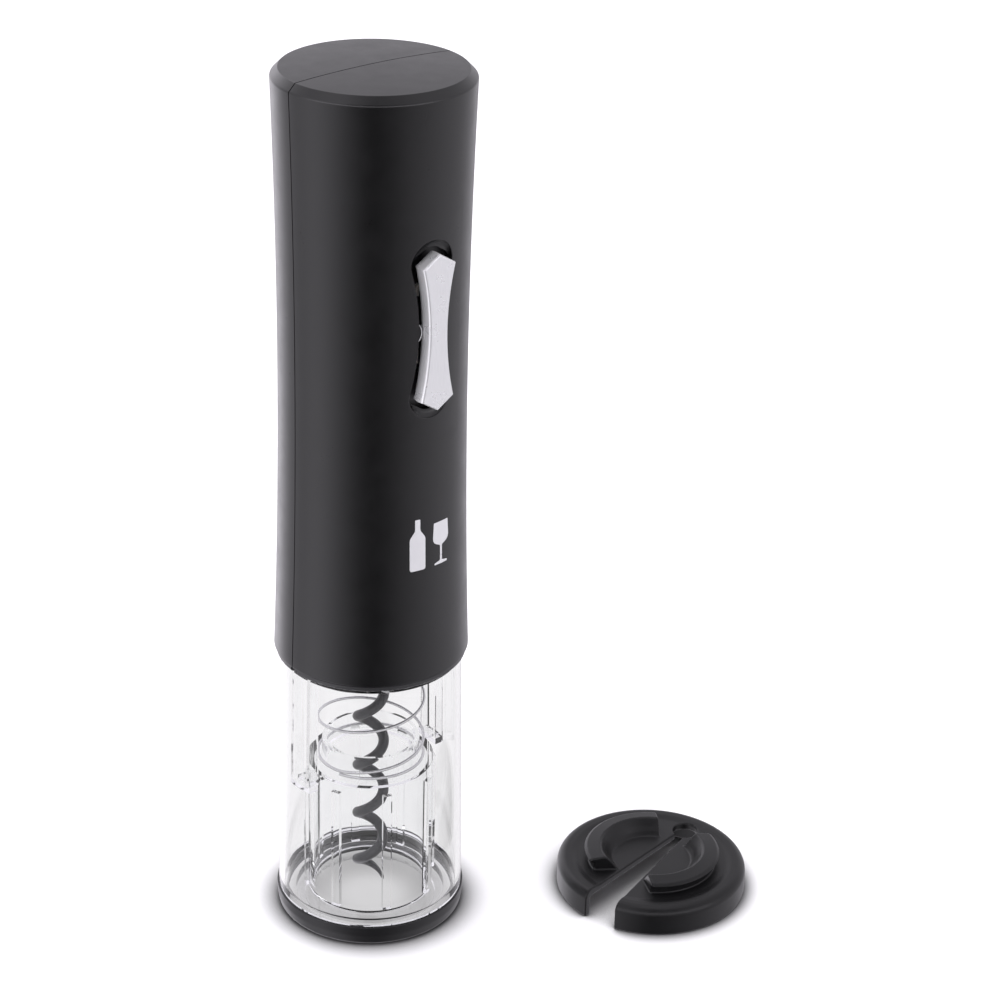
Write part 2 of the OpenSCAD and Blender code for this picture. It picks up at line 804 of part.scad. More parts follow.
module tact_plunger(z) {
    y_rod(1.65, 0, z, plunger_tip_y, board_y - switch_h + 1.1);
}

module extract_switch() { color("#2b2b2d") tact_switch(button_z + switch_z); }
module eject_switch() { color("#2b2b2d") tact_switch(button_z - switch_z); }
module extract_plunger() { color("#d8d8d4") tact_plunger(button_z + switch_z); }
module eject_plunger() { color("#d8d8d4") tact_plunger(button_z - switch_z); }

// ---------- Batteries ----------

module battery_tray() {
    color("#242426") {
        for (z = [tray_z, tray_top - tray_plate])
            intersection() {
                rod(20.5, z, z + tray_plate);
                block([-30, -13, z - 1], [30, 30, z + 3]);
            }
        block([-15.8, -13, tray_z], [15.8, -12.3, tray_top]);
        for (s = [-1, 1])
            block([s > 0 ? 14.9 : -15.8, -13, tray_z], [s > 0 ? 15.8 : -14.9, -0.4, tray_top]);
        translate([0, cells_y, 0]) rod(2.6, tray_z + 0.5, tray_top - 0.5);
        for (s = [-1, 1])
            difference() {
                block([s > 0 ? 15.4 : -21, -2, tray_boss_z - 4], [s > 0 ? 21 : -15.4, -0.4, tray_boss_z + 4]);
                y_rod(1.1, s * tray_boss_x, tray_boss_z, -3, 1);
            }
    }
}

// A cell with its positive nub, up when flip is 0 and down when it is 1
module battery(i) {
    p = cell_places[i];
    nub_h = 1;
    body_l = cell_l - nub_h;
    translate([p[0] * cell_gap, cells_y + p[1] * cell_gap,
               p[2] == 0 ? contact_high - cell_l : contact_low + cell_l])
        rotate([p[2] == 0 ? 0 : 180, 0, 0]) {
            rotate_extrude() polygon(concat([[0, 0], [cell_r - 0.6, 0]],
                [[cell_r, 0.6], [cell_r, body_l - 0.8], [cell_r - 0.8, body_l],
                 [2.7, body_l], [2.7, cell_l], [0, cell_l]]));
        }
}

module battery_a() { color("#b58a2c") battery(0); }
module battery_b() { color("#b58a2c") battery(1); }
module battery_c() { color("#b58a2c") battery(2); }
module battery_d() { color("#b58a2c") battery(3); }

// Conical contact springs, drawn as stacked loops that narrow towards the cell
module battery_springs() {
    gap = contact_high - contact_low - cell_l;
    loops = 4;
    wire = gap / loops / 2;
    color("#c8ccd0") for (p = cell_places)
        translate([p[0] * cell_gap, cells_y + p[1] * cell_gap, p[2] == 0 ? contact_low : contact_high])
            mirror([0, 0, p[2]])
                for (i = [0:loops - 1])
                    translate([0, 0, wire * (2 * i + 1)]) rotate_extrude($fn = 48)
                        translate([4.6 - 0.45 * i, 0]) circle(r = wire, $fn = 16);
}

module contact_plates() {
    color("#c9a24a") for (z = [contact_low - contact_t, contact_high], e = [-1, 1])
        difference() {
            block([-13, cells_y + e * cell_gap - 5, z], [13, cells_y + e * cell_gap + 5, z + contact_t]);
            translate([0, cells_y, 0]) rod(2.8, z - 1, z + 2);
        }
}

// ---------- Screws ----------

// A pan-head screw with a cross recess: its head is at the origin and its shank runs along -Z
module screw(shank_r, shank_l, head_r, head_h) {
    difference() {
        union() {
            translate([0, 0, -shank_l]) cylinder(r = shank_r, h = shank_l + 0.1, $fn = 32);
            cylinder(r = head_r, h = head_h, $fn = 32);
        }
        for (a = [0, 90])
            rotate([0, 0, a]) translate([-0.6 * head_r, -0.2, head_h * 0.5])
                cube([1.2 * head_r, 0.4, head_h]);
    }
}

module frame_screws() {
    color("#8f9296") for (s = [-1, 1], p = [[boss_x, boss_z], [tray_boss_x, tray_boss_z]])
        translate([s * p[0], -0.4, p[1]]) rotate([-90, 0, 0]) screw(0.88, 9, 1.9, 1.2);
}

module gearbox_screws() {
    color("#8f9296") for (a = lug_angles)
        rotate([0, 0, a]) translate([lug_ring_r, 0, frame_z + 1.7]) rotate([180, 0, 0])
            screw(1.18, 31, 2.4, 1.5);
}

module motor_screws() {
    color("#8f9296") for (s = [-1, 1])
        translate([8 * s, 0, plate_z + 1.5]) rotate([180, 0, 0]) screw(1.18, 4.4, 2.1, 1.3);
}

// ---------- Foil cutter ----------

// The slot, in the cutter's own frame: it runs along X from the wide open end to a keyhole
module slot_outline() {
    keyhole_x = 18;
    keyhole_r = 3.5;
    function half_w(x) = 2.55 - 0.083 * x;
    polygon([[-40, -half_w(-40)], [keyhole_x - 2, -half_w(keyhole_x - 2)],
             [keyhole_x - 2, half_w(keyhole_x - 2)], [-40, half_w(-40)]]);
    translate([keyhole_x, 0]) circle(r = keyhole_r, $fn = 48);
}

// Clip ring with a bowl-shaped inner face, a wide top and a lip above an undercut neck
module clip_ring() {
    neck_r = 17.7;
    lip_r = 19.1;
    rotate_extrude() polygon([[11, deck_z - 0.5], [neck_r, deck_z - 0.5], [neck_r, 10],
        [lip_r, 10.5], [lip_r, 10.9], [18.4, 11.4], [14.8, 12], [14.2, 11.8], [12.8, 9.7],
        [11.5, deck_z + 0.3]]);
}

module foil_cutter() {
    shoulder = 2.6;
    rim_t = 2;
    color("#1c1c1d") translate([cutter_x, cutter_y, 0]) rotate([0, 0, cutter_turn])
        difference() {
            union() {
                // The rimmed disc, open underneath
                rotate_extrude() polygon(concat([[0, deck_z - deck_t], [cutter_r - rim_t, deck_z - deck_t],
                    [cutter_r - rim_t, 0], [cutter_r - 0.5, 0], [cutter_r, 0.6]],
                    arc([cutter_r - shoulder, cutter_h - shoulder], shoulder, 0, 90, 6),
                    [[21.6, deck_z], [0, deck_z]]));
                // The clip ring is cut off at a slant on both sides of the slot's ends
                difference() {
                    clip_ring();
                    linear_extrude(20) polygon([[6.2, 0], [32, 23.2], [32, -23.2]]);
                    linear_extrude(20) polygon([[-7.1, 0], [-32, 29.4], [-32, -29.4]]);
                }
                for (a = wheel_angles)
                    rotate([0, 0, a]) translate([wheel_ring_r, 0, 0]) rod(2.4, 4.9, deck_z - 0.5);
                // Guide walls beside the wheels centre the bottle's neck
                difference() {
                    ring(18, 16.4, 1, deck_z - 1);
                    block([-20, -12, 0], [20, 12, deck_z]);
                    for (a = wheel_angles)
                        rotate([0, 0, a]) block([10, -5.4, 0], [26, 5.4, deck_z]);
                }
            }
            translate([0, 0, -1]) linear_extrude(20) slot_outline();
            for (a = wheel_angles)
                rotate([0, 0, a]) translate([wheel_ring_r, 0, 0]) rod(0.8, 0, deck_z - 0.9);
        }
}

// Steel disc with a sharpened edge, turning on its pin
module cutting_wheel(i) {
    color("#b9bcc0") translate([cutter_x, cutter_y, 0]) rotate([0, 0, cutter_turn + wheel_angles[i]])
        translate([wheel_ring_r, 0, wheel_mid_z]) rotate_extrude() polygon([[0.86, -1.1], [1.9, -1.1],
            [1.9, -0.5], [3.2, -0.5], [wheel_r, 0], [3.2, 0.5], [1.9, 0.5], [1.9, 1.1], [0.86, 1.1]]);
}

module cutting_wheel_a() { cutting_wheel(0); }
module cutting_wheel_b() { cutting_wheel(1); }
module cutting_wheel_c() { cutting_wheel(2); }
module cutting_wheel_d() { cutting_wheel(3); }

module wheel_pins() {
    color("#8f9296") translate([cutter_x, cutter_y, 0]) for (a = wheel_angles)
        rotate([0, 0, cutter_turn + a]) translate([wheel_ring_r, 0, 0]) {
            rod(0.8, 1, deck_z - 1);
            rod(1.7, 1, 2);
        }
}

// ---------- Assembly ----------

front_shell();
rear_cover();
collar();
clear_tube();
base_ring();
neck_guide();
guide_spring();
worm();
worm_chuck();
chuck_pin();
output_shaft();
output_bush();
drive_frame();
gearbox_cover();
gearbox_housing();
motor_plate();
output_carrier();
output_planet_a();
output_planet_b();
output_planet_c();
input_carrier();
input_planet_a();
input_planet_b();
input_planet_c();
sun_pinion();
motor_armature();
motor_can();
motor_magnets();
motor_bushes();
motor_end_cap();
motor_terminals();
motor_lead_red();
motor_lead_black();
rocker_bezel();
rocker_button();
rocker_pin();
switch_board();
extract_switch();
eject_switch();
extract_plunger();
eject_plunger();
battery_tray();
battery_a();
battery_b();
battery_c();
battery_d();
battery_springs();
contact_plates();
frame_screws();
gearbox_screws();
motor_screws();
foil_cutter();
cutting_wheel_a();
cutting_wheel_b();
cutting_wheel_c();
cutting_wheel_d();
wheel_pins();
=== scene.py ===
"""Electric wine opener and its foil cutter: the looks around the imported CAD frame.

Lengths in the shape code are millimetres in the row frame (+Z up, the button faces -Y), and MM
turns them into metres where a mesh is made.
"""

import math

import bmesh
import bpy
import numpy as np
from mathutils import Matrix, Vector


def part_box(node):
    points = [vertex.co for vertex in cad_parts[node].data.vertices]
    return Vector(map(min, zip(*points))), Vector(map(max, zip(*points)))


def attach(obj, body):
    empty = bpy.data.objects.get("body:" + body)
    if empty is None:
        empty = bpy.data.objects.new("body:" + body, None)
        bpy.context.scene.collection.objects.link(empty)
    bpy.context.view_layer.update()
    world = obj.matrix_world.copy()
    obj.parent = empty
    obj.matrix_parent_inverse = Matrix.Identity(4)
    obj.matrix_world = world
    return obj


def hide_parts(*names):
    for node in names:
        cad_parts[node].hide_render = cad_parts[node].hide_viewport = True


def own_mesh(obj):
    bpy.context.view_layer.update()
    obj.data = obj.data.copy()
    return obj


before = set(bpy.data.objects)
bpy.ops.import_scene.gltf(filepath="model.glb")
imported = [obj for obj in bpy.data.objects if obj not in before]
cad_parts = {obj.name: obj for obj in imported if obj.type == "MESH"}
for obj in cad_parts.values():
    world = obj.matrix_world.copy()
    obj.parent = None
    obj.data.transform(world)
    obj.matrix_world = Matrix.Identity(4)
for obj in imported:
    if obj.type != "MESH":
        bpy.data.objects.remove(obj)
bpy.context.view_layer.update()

MM = 0.001
scene = bpy.context.scene


def node_box(name):
    """Lowest and highest corner of a CAD node, in millimetres."""
    low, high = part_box(name)
    return low / MM, high / MM


# ---------- Camera ----------

CAMERA_TURN = math.radians(-37)   # the button is turned this far to the right of the camera
CAMERA_BACK = 647.76              # from the opener's axis, along the floor
CAMERA_UP = 438.07                # above the floor
CAMERA_PAN = math.radians(2.965)  # the axis stands left of the middle of the view
CAMERA_DOWN = math.radians(25.917)
CAMERA_ROLL = math.radians(1.6)
CAMERA_LENS = 98.93
CAMERA_SENSOR = 36


def make_camera():
    """The camera at the photo's angle, given by where it stands and how it is turned."""
    forward = Vector((math.sin(CAMERA_PAN) * math.cos(CAMERA_DOWN),
                      math.cos(CAMERA_PAN) * math.cos(CAMERA_DOWN), -math.sin(CAMERA_DOWN)))
    level = Vector((math.cos(CAMERA_PAN), -math.sin(CAMERA_PAN), 0))
    upright = level.cross(forward)
    right = math.cos(CAMERA_ROLL) * level + math.sin(CAMERA_ROLL) * upright
    up = math.cos(CAMERA_ROLL) * upright - math.sin(CAMERA_ROLL) * level
    turn = Matrix.Rotation(CAMERA_TURN, 4, "Z")
    data = bpy.data.cameras.new("camera")
    data.lens = CAMERA_LENS
    data.sensor_width = CAMERA_SENSOR
    data.clip_start = 0.01
    camera = bpy.data.objects.new("camera", data)
    matrix = Matrix((right, up, -forward)).transposed().to_4x4()
    matrix.translation = Vector((0, -CAMERA_BACK, CAMERA_UP)) * MM
    camera.matrix_world = turn @ matrix
    scene.collection.objects.link(camera)
    scene.camera = camera


# ---------- Light and floor ----------

# Brightness of the studio by direction round the opener, in degrees to the right of the camera.
# It is dark behind the camera and bright at the sides and the back.
STUDIO = [(-180, 0.76), (-164, 1.3), (-148, 2.2), (-136, 1.8), (-122, 1.1), (-106, 0.85),
          (-92, 0.95), (-76, 1.5), (-62, 1.5), (-48, 1.15), (-31, 0.58), (-13, 0.14), (0, 0.02),
          (13, 0.1), (26, 0.28), (40, 0.5), (60, 0.74), (88, 0.95), (115, 0.82), (132, 0.85),
          (150, 1.05), (166, 0.85)]
STUDIO_TINT = (1.0, 0.972, 1.04)
STUDIO_TOP = 1.5                  # brightness straight above
TOP_EDGE = (0.94, 0.995)          # height on the unit sphere where the top light starts and is full
FRONT_STRIP = 2.6                 # a long low strip light over the camera, which draws upper edges
STRIP_LOW = (0.1, 0.2)            # its lower edge, as a height on the unit sphere
STRIP_HIGH = (0.5, 0.36)          # its upper edge
STRIP_SIDE = (0.15, 0.5)          # its ends, as the part of the direction that points at the camera
BACKDROP = 1.2                    # least brightness of what the camera sees behind the floor
CLEAR_VIEW = (0.72, 1.0)          # darkest and brightest surroundings seen through clear plastic
CLEAR_FLOOR = 0.93                # brightness of the floor seen through clear plastic
FLOOR_SIZE = 6.0                  # half its width, in metres
FLOOR_WHITE = 0.92
CONTACT_REACH = 13                # how far the contact shadow spreads on the floor
CONTACT_AO = (0.42, 0.92)         # the occlusion at which the shadow is full, and at which it ends
CONTACT_DARKEST = 0.1
SLOT_AREA = (23, 4)               # the floor inside the cutter, where light is painted: radius, then the width of its edge
# how far the painted light lifts the contact shadow in the cutter's slot
SLOT_PAINTED_LIGHT = 0.45
TUBE_AREA = (18, 7)               # the floor inside the clear section, where shade is painted
# how far the painted shade darkens the floor's glow there
TUBE_PAINTED_SHADE = 0.25


class Nodes:
    """Short calls for building a node tree."""

    def __init__(self, tree):
        self.tree = tree
        tree.nodes.clear()

    def add(self, kind, inputs=None, **settings):
        n = self.tree.nodes.new(kind)
        for key, value in settings.items():
            setattr(n, key, value)
        for key, value in (inputs or {}).items():
            self.put(n.inputs[key], value)
        return n

    def put(self, socket, value):
        if isinstance(value, bpy.types.NodeSocket):
            self.tree.links.new(value, socket)
        else:
            socket.default_value = value

    def math(self, operation, *values):
        n = self.tree.nodes.new("ShaderNodeMath")
        n.operation = operation
        for i, value in enumerate(values):
            self.put(n.inputs[i], value)
        return n.outputs[0]


def make_world():
    """The studio's surroundings. The camera sees them as plain white, glossy surfaces as STUDIO
    says, and clear plastic shows them within CLEAR_VIEW."""
    world = bpy.data.worlds.new("studio")
    scene.world = world
    world.use_nodes = True
    n = Nodes(world.node_tree)
    direction = n.add("ShaderNodeSeparateXYZ",
                      {0: n.add("ShaderNodeTexCoord").outputs["Generated"]}).outputs
    angle = n.math("ARCTAN2", direction["Y"], direction["X"])
    front = math.radians(-90) + CAMERA_TURN
    # 0.5 towards the camera, and from 0 to 1 all the way round
    share = n.math("FRACT", n.math("MULTIPLY_ADD", angle, 1 / math.tau, 0.5 - front / math.tau))
    ramp = n.add("ShaderNodeValToRGB", {0: share})
    stops = ramp.color_ramp.elements
    while len(stops) < len(STUDIO):
        stops.new(0.5)
    peak = max(level for _, level in STUDIO)
    for stop, (degrees, level) in zip(stops, STUDIO):
        stop.position = degrees / 360 + 0.5
        stop.color = (level / peak,) * 3 + (1,)
    around = n.math("MULTIPLY", ramp.outputs[0], peak)

    def step(value, start, end):
        return n.add("ShaderNodeMapRange", {0: value, 1: start, 2: end},
                     interpolation_type="SMOOTHSTEP").outputs[0]

    high = step(direction["Z"], *TOP_EDGE)
    level = n.math("ADD", n.math("MULTIPLY", around, n.math("SUBTRACT", 1.0, high)),
                   n.math("MULTIPLY", high, STUDIO_TOP))
    ahead = n.math("MULTIPLY_ADD", direction["X"], math.cos(front),
                   n.math("MULTIPLY", direction["Y"], math.sin(front)))
    strip = n.math("MULTIPLY", step(direction["Z"], *STRIP_LOW), step(direction["Z"], *STRIP_HIGH))
    strip = n.math("MULTIPLY", strip, step(ahead, *STRIP_SIDE))
    level = n.math("MULTIPLY_ADD", strip, FRONT_STRIP, level)
    rays = n.add("ShaderNodeLightPath").outputs
    seen = n.math("MAXIMUM", level, n.math("MULTIPLY", rays["Is Camera Ray"], BACKDROP))
    through = n.math("MINIMUM", n.math("MAXIMUM", level, CLEAR_VIEW[0]), CLEAR_VIEW[1])
    clear_ray = rays["Is Transmission Ray"]
    strength = n.math("ADD", n.math("MULTIPLY", seen, n.math("SUBTRACT", 1.0, clear_ray)),
                      n.math("MULTIPLY", through, clear_ray))
    background = n.add("ShaderNodeBackground", {"Color": STUDIO_TINT + (1,), "Strength": strength})
    n.put(n.add("ShaderNodeOutputWorld").inputs[0], background.outputs[0])


def make_floor():
    """A plain white floor with a soft contact shadow, which glows evenly where it is seen through
    clear plastic."""
    mesh = bpy.data.meshes.new("floor")
    corners = [(x * FLOOR_SIZE, y * FLOOR_SIZE, 0) for x, y in ((-1, -1), (1, -1), (1, 1), (-1, 1))]
    mesh.from_pydata(corners, [], [(0, 1, 2, 3)])
    floor = bpy.data.objects.new("floor", mesh)
    scene.collection.objects.link(floor)
    material = bpy.data.materials.new("floor_white")
    material.use_nodes = True
    n = Nodes(material.node_tree)
    near = n.add("ShaderNodeAmbientOcclusion", {"Distance": CONTACT_REACH * MM},
                 samples=16).outputs["AO"]
    contact = n.add("ShaderNodeMapRange", {0: near, 1: CONTACT_AO[0], 2: CONTACT_AO[1],
                                           3: CONTACT_DARKEST, 4: 1.0},
                    interpolation_type="SMOOTHSTEP").outputs[0]
    place = n.add("ShaderNodeNewGeometry").outputs["Position"]

    def within(x, y, radius, edge):
        """1 on the floor inside radius of (x, y), falling to 0 over edge, all in millimetres."""
        away = n.add("ShaderNodeVectorMath", {0: place, 1: (x * MM, y * MM, 0)},
                     operation="DISTANCE").outputs["Value"]
        return n.add("ShaderNodeMapRange", {0: away, 1: radius * MM, 2: (radius + edge) * MM,
                                            3: 1.0, 4: 0.0},
                     interpolation_type="SMOOTHSTEP").outputs[0]

    low, high = node_box("foil_cutter")
    # painted light: the contact shadow is lifted by place on the floor in the cutter's slot, where
    # overhead light would reach
    painted_slot_light = within(high.x - CUTTER_R, (low.y + high.y) / 2, *SLOT_AREA)
    contact = n.math("MAXIMUM", contact, n.math("MULTIPLY", painted_slot_light, SLOT_PAINTED_LIGHT))
    # painted shade: the floor's glow is darkened by place inside the clear section
    shaded = n.math("MULTIPLY", within(0, 0, *TUBE_AREA), CLEAR_FLOOR * TUBE_PAINTED_SHADE)
    tone = n.add("ShaderNodeMix", {"Factor": contact, "A": shade((0, 0, 0), 1),
                                   "B": shade((FLOOR_WHITE,) * 3, 1)},
                 data_type="RGBA").outputs["Result"]
    shader = n.add("ShaderNodeBsdfPrincipled", {"Base Color": tone, "Roughness": 0.9,
                                                "Specular IOR Level": 0.0})
    # seen through clear plastic the contact shadow is weaker
    dim = n.math("MULTIPLY_ADD", contact, CLEAR_FLOOR * 0.3, CLEAR_FLOOR * 0.7)
    dim = n.math("SUBTRACT", dim, shaded)
    glow = n.add("ShaderNodeEmission", {"Color": (1, 0.985, 1, 1), "Strength": dim})
    clear_ray = n.add("ShaderNodeLightPath").outputs["Is Transmission Ray"]
    mix = n.add("ShaderNodeMixShader", {0: clear_ray, 1: shader.outputs[0], 2: glow.outputs[0]})
    n.put(n.add("ShaderNodeOutputMaterial").inputs[0], mix.outputs[0])
    mesh.materials.append(material)
    floor.visible_glossy = False


def make_lamp(name, place, size, watts, aim=(0, 0, 120)):
    """A soft rectangular lamp at place, in millimetres, that points at aim."""
    data = bpy.data.lights.new(name, "AREA")
    data.shape = "RECTANGLE"
    data.size, data.size_y = size[0] * MM, size[1] * MM
    data.energy = watts
    lamp = bpy.data.objects.new(name, data)
    lamp.location = Vector(place) * MM
    lamp.rotation_euler = (Vector(aim) - Vector(place)).to_track_quat("-Z", "Y").to_euler()
    lamp.visible_camera = False
    lamp.visible_glossy = False
    scene.collection.objects.link(lamp)


# ---------- Materials ----------

def finish_material(name):
    """An empty node material, its nodes, and the coordinates that its patterns follow."""
    material = bpy.data.materials.new(name)
    material.use_nodes = True
    n = Nodes(material.node_tree)
    place = n.add("ShaderNodeTexCoord").outputs["Object"]
    return material, n, place


def noise(n, place, grain, detail=3.0, rough=0.55):
    """Noise whose lumps are about grain millimetres across."""
    return n.add("ShaderNodeTexNoise", {"Vector": place, "Scale": 1 / (grain * MM),
                                        "Detail": detail, "Roughness": rough}).outputs["Fac"]


def spread(n, value, low, high):
    """The value, which runs from about 0.3 to 0.7 as noise does, stretched to low and high."""
    return n.add("ShaderNodeMapRange", {0: value, 1: 0.3, 2: 0.7, 3: low, 4: high}).outputs[0]


def shade(colour, factor):
    """The colour times factor, with its alpha."""
    return tuple(min(1.0, c * factor) for c in colour) + (1,)


def solid(name, colour, rough, metal=0.0, grain=0.25, bump=0.02, vary=0.12, rough_vary=0.05,
          coat=0.0, specular=0.5, blotch=6.0):
    """An opaque finish: blotches of colour, uneven gloss and a fine raised grain."""
    material, n, place = finish_material(name)
    wide = noise(n, place, blotch)
    fine = noise(n, place, grain, 2.0)
    tone = n.add("ShaderNodeMix", {"Factor": wide, "A": shade(colour, 1 - vary),
                                   "B": shade(colour, 1 + vary)}, data_type="RGBA")
    both = n.math("ADD", n.math("MULTIPLY", wide, 0.6), n.math("MULTIPLY", fine, 0.4))
    raised = n.add("ShaderNodeBump", {"Height": fine, "Strength": 1.0, "Distance": bump * MM})
    shader = n.add("ShaderNodeBsdfPrincipled", {
        "Base Color": tone.outputs["Result"],
        "Roughness": spread(n, both, rough - rough_vary, rough + rough_vary),
        "Metallic": metal, "Specular IOR Level": specular, "Coat Weight": coat,
        "Coat Roughness": 0.15, "Normal": raised.outputs[0]})
    n.put(n.add("ShaderNodeOutputMaterial").inputs[0], shader.outputs[0])
    return material


def brushed(name, colour, rough, along, stretch=30.0, grain=0.08, bump=0.004, metal=1.0):
    """Metal or metal paint with fine lines along one axis: 0 is X, 1 is Y and 2 is Z."""
    material, n, place = finish_material(name)
    scale = [1.0, 1.0, 1.0]
    scale[along] = 1 / stretch
    lines_at = n.add("ShaderNodeMapping", {"Vector": place, "Scale": scale}).outputs[0]
    lines = noise(n, lines_at, grain, 2.0)
    wide = noise(n, place, 5.0)
    tone = n.add("ShaderNodeMix", {"Factor": spread(n, lines, 0.0, 1.0), "A": shade(colour, 0.94),
                                   "B": shade(colour, 1.04)}, data_type="RGBA")
    raised = n.add("ShaderNodeBump", {"Height": lines, "Strength": 1.0, "Distance": bump * MM})
    shader = n.add("ShaderNodeBsdfPrincipled", {
        "Base Color": tone.outputs["Result"],
        "Roughness": spread(n, wide, rough - 0.04, rough + 0.04),
        "Metallic": metal, "Normal": raised.outputs[0]})
    n.put(n.add("ShaderNodeOutputMaterial").inputs[0], shader.outputs[0])
    return material


def clear(name, tint, ior=1.49, ripple=0.004):
    """Moulded clear plastic: faint flow ripples, and lamps shine through it."""
    material, n, place = finish_material(name)
    flow_at = n.add("ShaderNodeMapping", {"Vector": place, "Scale": (1, 1, 0.25)}).outputs[0]
    flow = noise(n, flow_at, 9.0, 1.0)
    haze = noise(n, place, 3.0)
    tone = n.add("ShaderNodeMix", {"Factor": haze, "A": shade(tint, 0.985), "B": shade(tint, 1.0)},
                 data_type="RGBA")
    raised = n.add("ShaderNodeBump", {"Height": flow, "Strength": 1.0, "Distance": ripple * MM})
    shader = n.add("ShaderNodeBsdfPrincipled", {
        "Base Color": tone.outputs["Result"], "Roughness": spread(n, haze, 0.0, 0.02),
        "IOR": ior, "Transmission Weight": 1.0, "Normal": raised.outputs[0]})
    open_to_lamps = n.add("ShaderNodeBsdfTransparent", {"Color": shade(tint, 0.95)})
    shadow_ray = n.add("ShaderNodeLightPath").outputs["Is Shadow Ray"]
    mix = n.add("ShaderNodeMixShader", {0: shadow_ray, 1: shader.outputs[0],
                                        2: open_to_lamps.outputs[0]})
    n.put(n.add("ShaderNodeOutputMaterial").inputs[0], mix.outputs[0])
    return material


def make_materials():
    """Every finish, by the name of its material slot in the record."""
    return {
        "housing_plastic": solid("housing_plastic", (0.0032, 0.0032, 0.0034), 0.32, grain=0.22,
                                 bump=0.0025, vary=0.2),
        "collar_plastic": solid("collar_plastic", (0.02, 0.02, 0.021), 0.38, grain=0.2, bump=0.003),
        "clear_plastic": clear("clear_plastic", (0.993, 0.996, 0.997), ior=1.38),
        "guide_plastic": clear("guide_plastic", (0.99, 0.994, 0.996), ior=1.15, ripple=0.006),
        "base_plastic": solid("base_plastic", (0.006, 0.006, 0.0065), 0.38, grain=0.2, bump=0.003,
                              specular=0.35),
        "spring_steel": brushed("spring_steel", (0.62, 0.62, 0.63), 0.24, 2, stretch=4),
        "worm_coating": solid("worm_coating", (0.055, 0.055, 0.058), 0.42, metal=0.25, grain=0.16,
                              bump=0.02, vary=0.35, blotch=0.7),
        "dark_metal": solid("dark_metal", (0.06, 0.06, 0.065), 0.36, metal=0.8, grain=0.3,
                            bump=0.004),
        "bright_steel": brushed("bright_steel", (0.66, 0.66, 0.67), 0.22, 2, stretch=6),
        "bronze": solid("bronze", (0.45, 0.27, 0.11), 0.42, metal=0.9, grain=0.12, bump=0.01,
                        vary=0.2, blotch=1.0),
        "brass_parts": solid("brass_parts", (0.62, 0.45, 0.17), 0.3, metal=1.0, grain=0.2,
                             bump=0.003),
        "inner_plastic": solid("inner_plastic", (0.03, 0.03, 0.032), 0.45, grain=0.3, bump=0.006),
        "sintered_steel": solid("sintered_steel", (0.32, 0.32, 0.33), 0.46, metal=0.9, grain=0.1,
                                bump=0.012, vary=0.2, blotch=0.8),
        "armature_steel": solid("armature_steel", (0.24, 0.19, 0.15), 0.4, metal=0.7, grain=0.3,
                                bump=0.01),
        "zinc_steel": solid("zinc_steel", (0.52, 0.53, 0.55), 0.33, metal=1.0, grain=0.5,
                            bump=0.002, vary=0.1, blotch=4.0),
        "ferrite": solid("ferrite", (0.06, 0.058, 0.055), 0.6, grain=0.1, bump=0.01, vary=0.2),
        "white_nylon": solid("white_nylon", (0.72, 0.7, 0.63), 0.42, grain=0.3, bump=0.004,
                             vary=0.05),
        "red_lead": solid("red_lead", (0.45, 0.012, 0.012), 0.4, grain=0.5, bump=0.005),
        "black_lead": solid("black_lead", (0.012, 0.012, 0.012), 0.4, grain=0.5, bump=0.005),
        "bezel_plastic": solid("bezel_plastic", (0.006, 0.006, 0.0065), 0.4, grain=0.2, bump=0.003),
        "button_silver": brushed("button_silver", (0.69, 0.695, 0.70), 0.3, 2, stretch=40,
                                 grain=0.1, bump=0.0004, metal=0.62),
        "board_green": solid("board_green", (0.02, 0.11, 0.045), 0.35, grain=0.6, bump=0.01,
                             vary=0.3, blotch=1.5),
        "switch_black": solid("switch_black", (0.02, 0.02, 0.022), 0.4, grain=0.2, bump=0.004),
        "cell_wrap": solid("cell_wrap", (0.5, 0.33, 0.08), 0.25, metal=0.6, grain=1.0, bump=0.004,
                           coat=0.5),
        "screw_steel": brushed("screw_steel", (0.42, 0.42, 0.43), 0.32, 1, stretch=5),
        "cutter_plastic": solid("cutter_plastic", (0.004, 0.004, 0.0043), 0.4, grain=0.2,
                                bump=0.003, vary=0.2, specular=0.32),
        "emblem_silver": solid("emblem_silver", (0.66, 0.66, 0.67), 0.42, metal=0.4, grain=0.1,
                               bump=0.002, vary=0.06),
    }


# ---------- Shape tools ----------

def rounded(corners, steps=5):
    """A closed outline from corners (x, y) or (x, y, radius): one with a radius becomes an arc."""
    points = []
    for i, corner in enumerate(corners):
        p = np.array(corner[:2], float)
        if len(corner) < 3:
            points.append(tuple(p))
            continue
        to_last = np.array(corners[i - 1][:2], float) - p
        to_next = np.array(corners[(i + 1) % len(corners)][:2], float) - p
        u, v = to_last / np.linalg.norm(to_last), to_next / np.linalg.norm(to_next)
        half = math.acos(max(-1.0, min(1.0, float(u @ v)))) / 2
        reach = corner[2] / math.tan(half)
        centre = p + (u + v) / np.linalg.norm(u + v) * corner[2] / math.sin(half)
        start, end = p + u * reach - centre, p + v * reach - centre
        turn = math.pi - 2 * half
        for k in range(steps + 1):
            share = k / steps
            w = math.sin((1 - share) * turn) * start + math.sin(share * turn) * end
            points.append(tuple(centre + w / math.sin(turn)))
    return points


def smooth(t):
    """A soft step: 0 up to t = 0, and 1 from t = 1 on."""
    t = np.clip(t, 0, 1)
    return t * t * (3 - 2 * t)


def add_object(name, mesh, material):
    """Puts a mesh in the scene, shaded smooth and in one finish."""
    mesh.polygons.foreach_set("use_smooth", [True] * len(mesh.polygons))
    mesh.materials.append(material)
    obj = bpy.data.objects.new(name, mesh)
    scene.collection.objects.link(obj)
    return obj


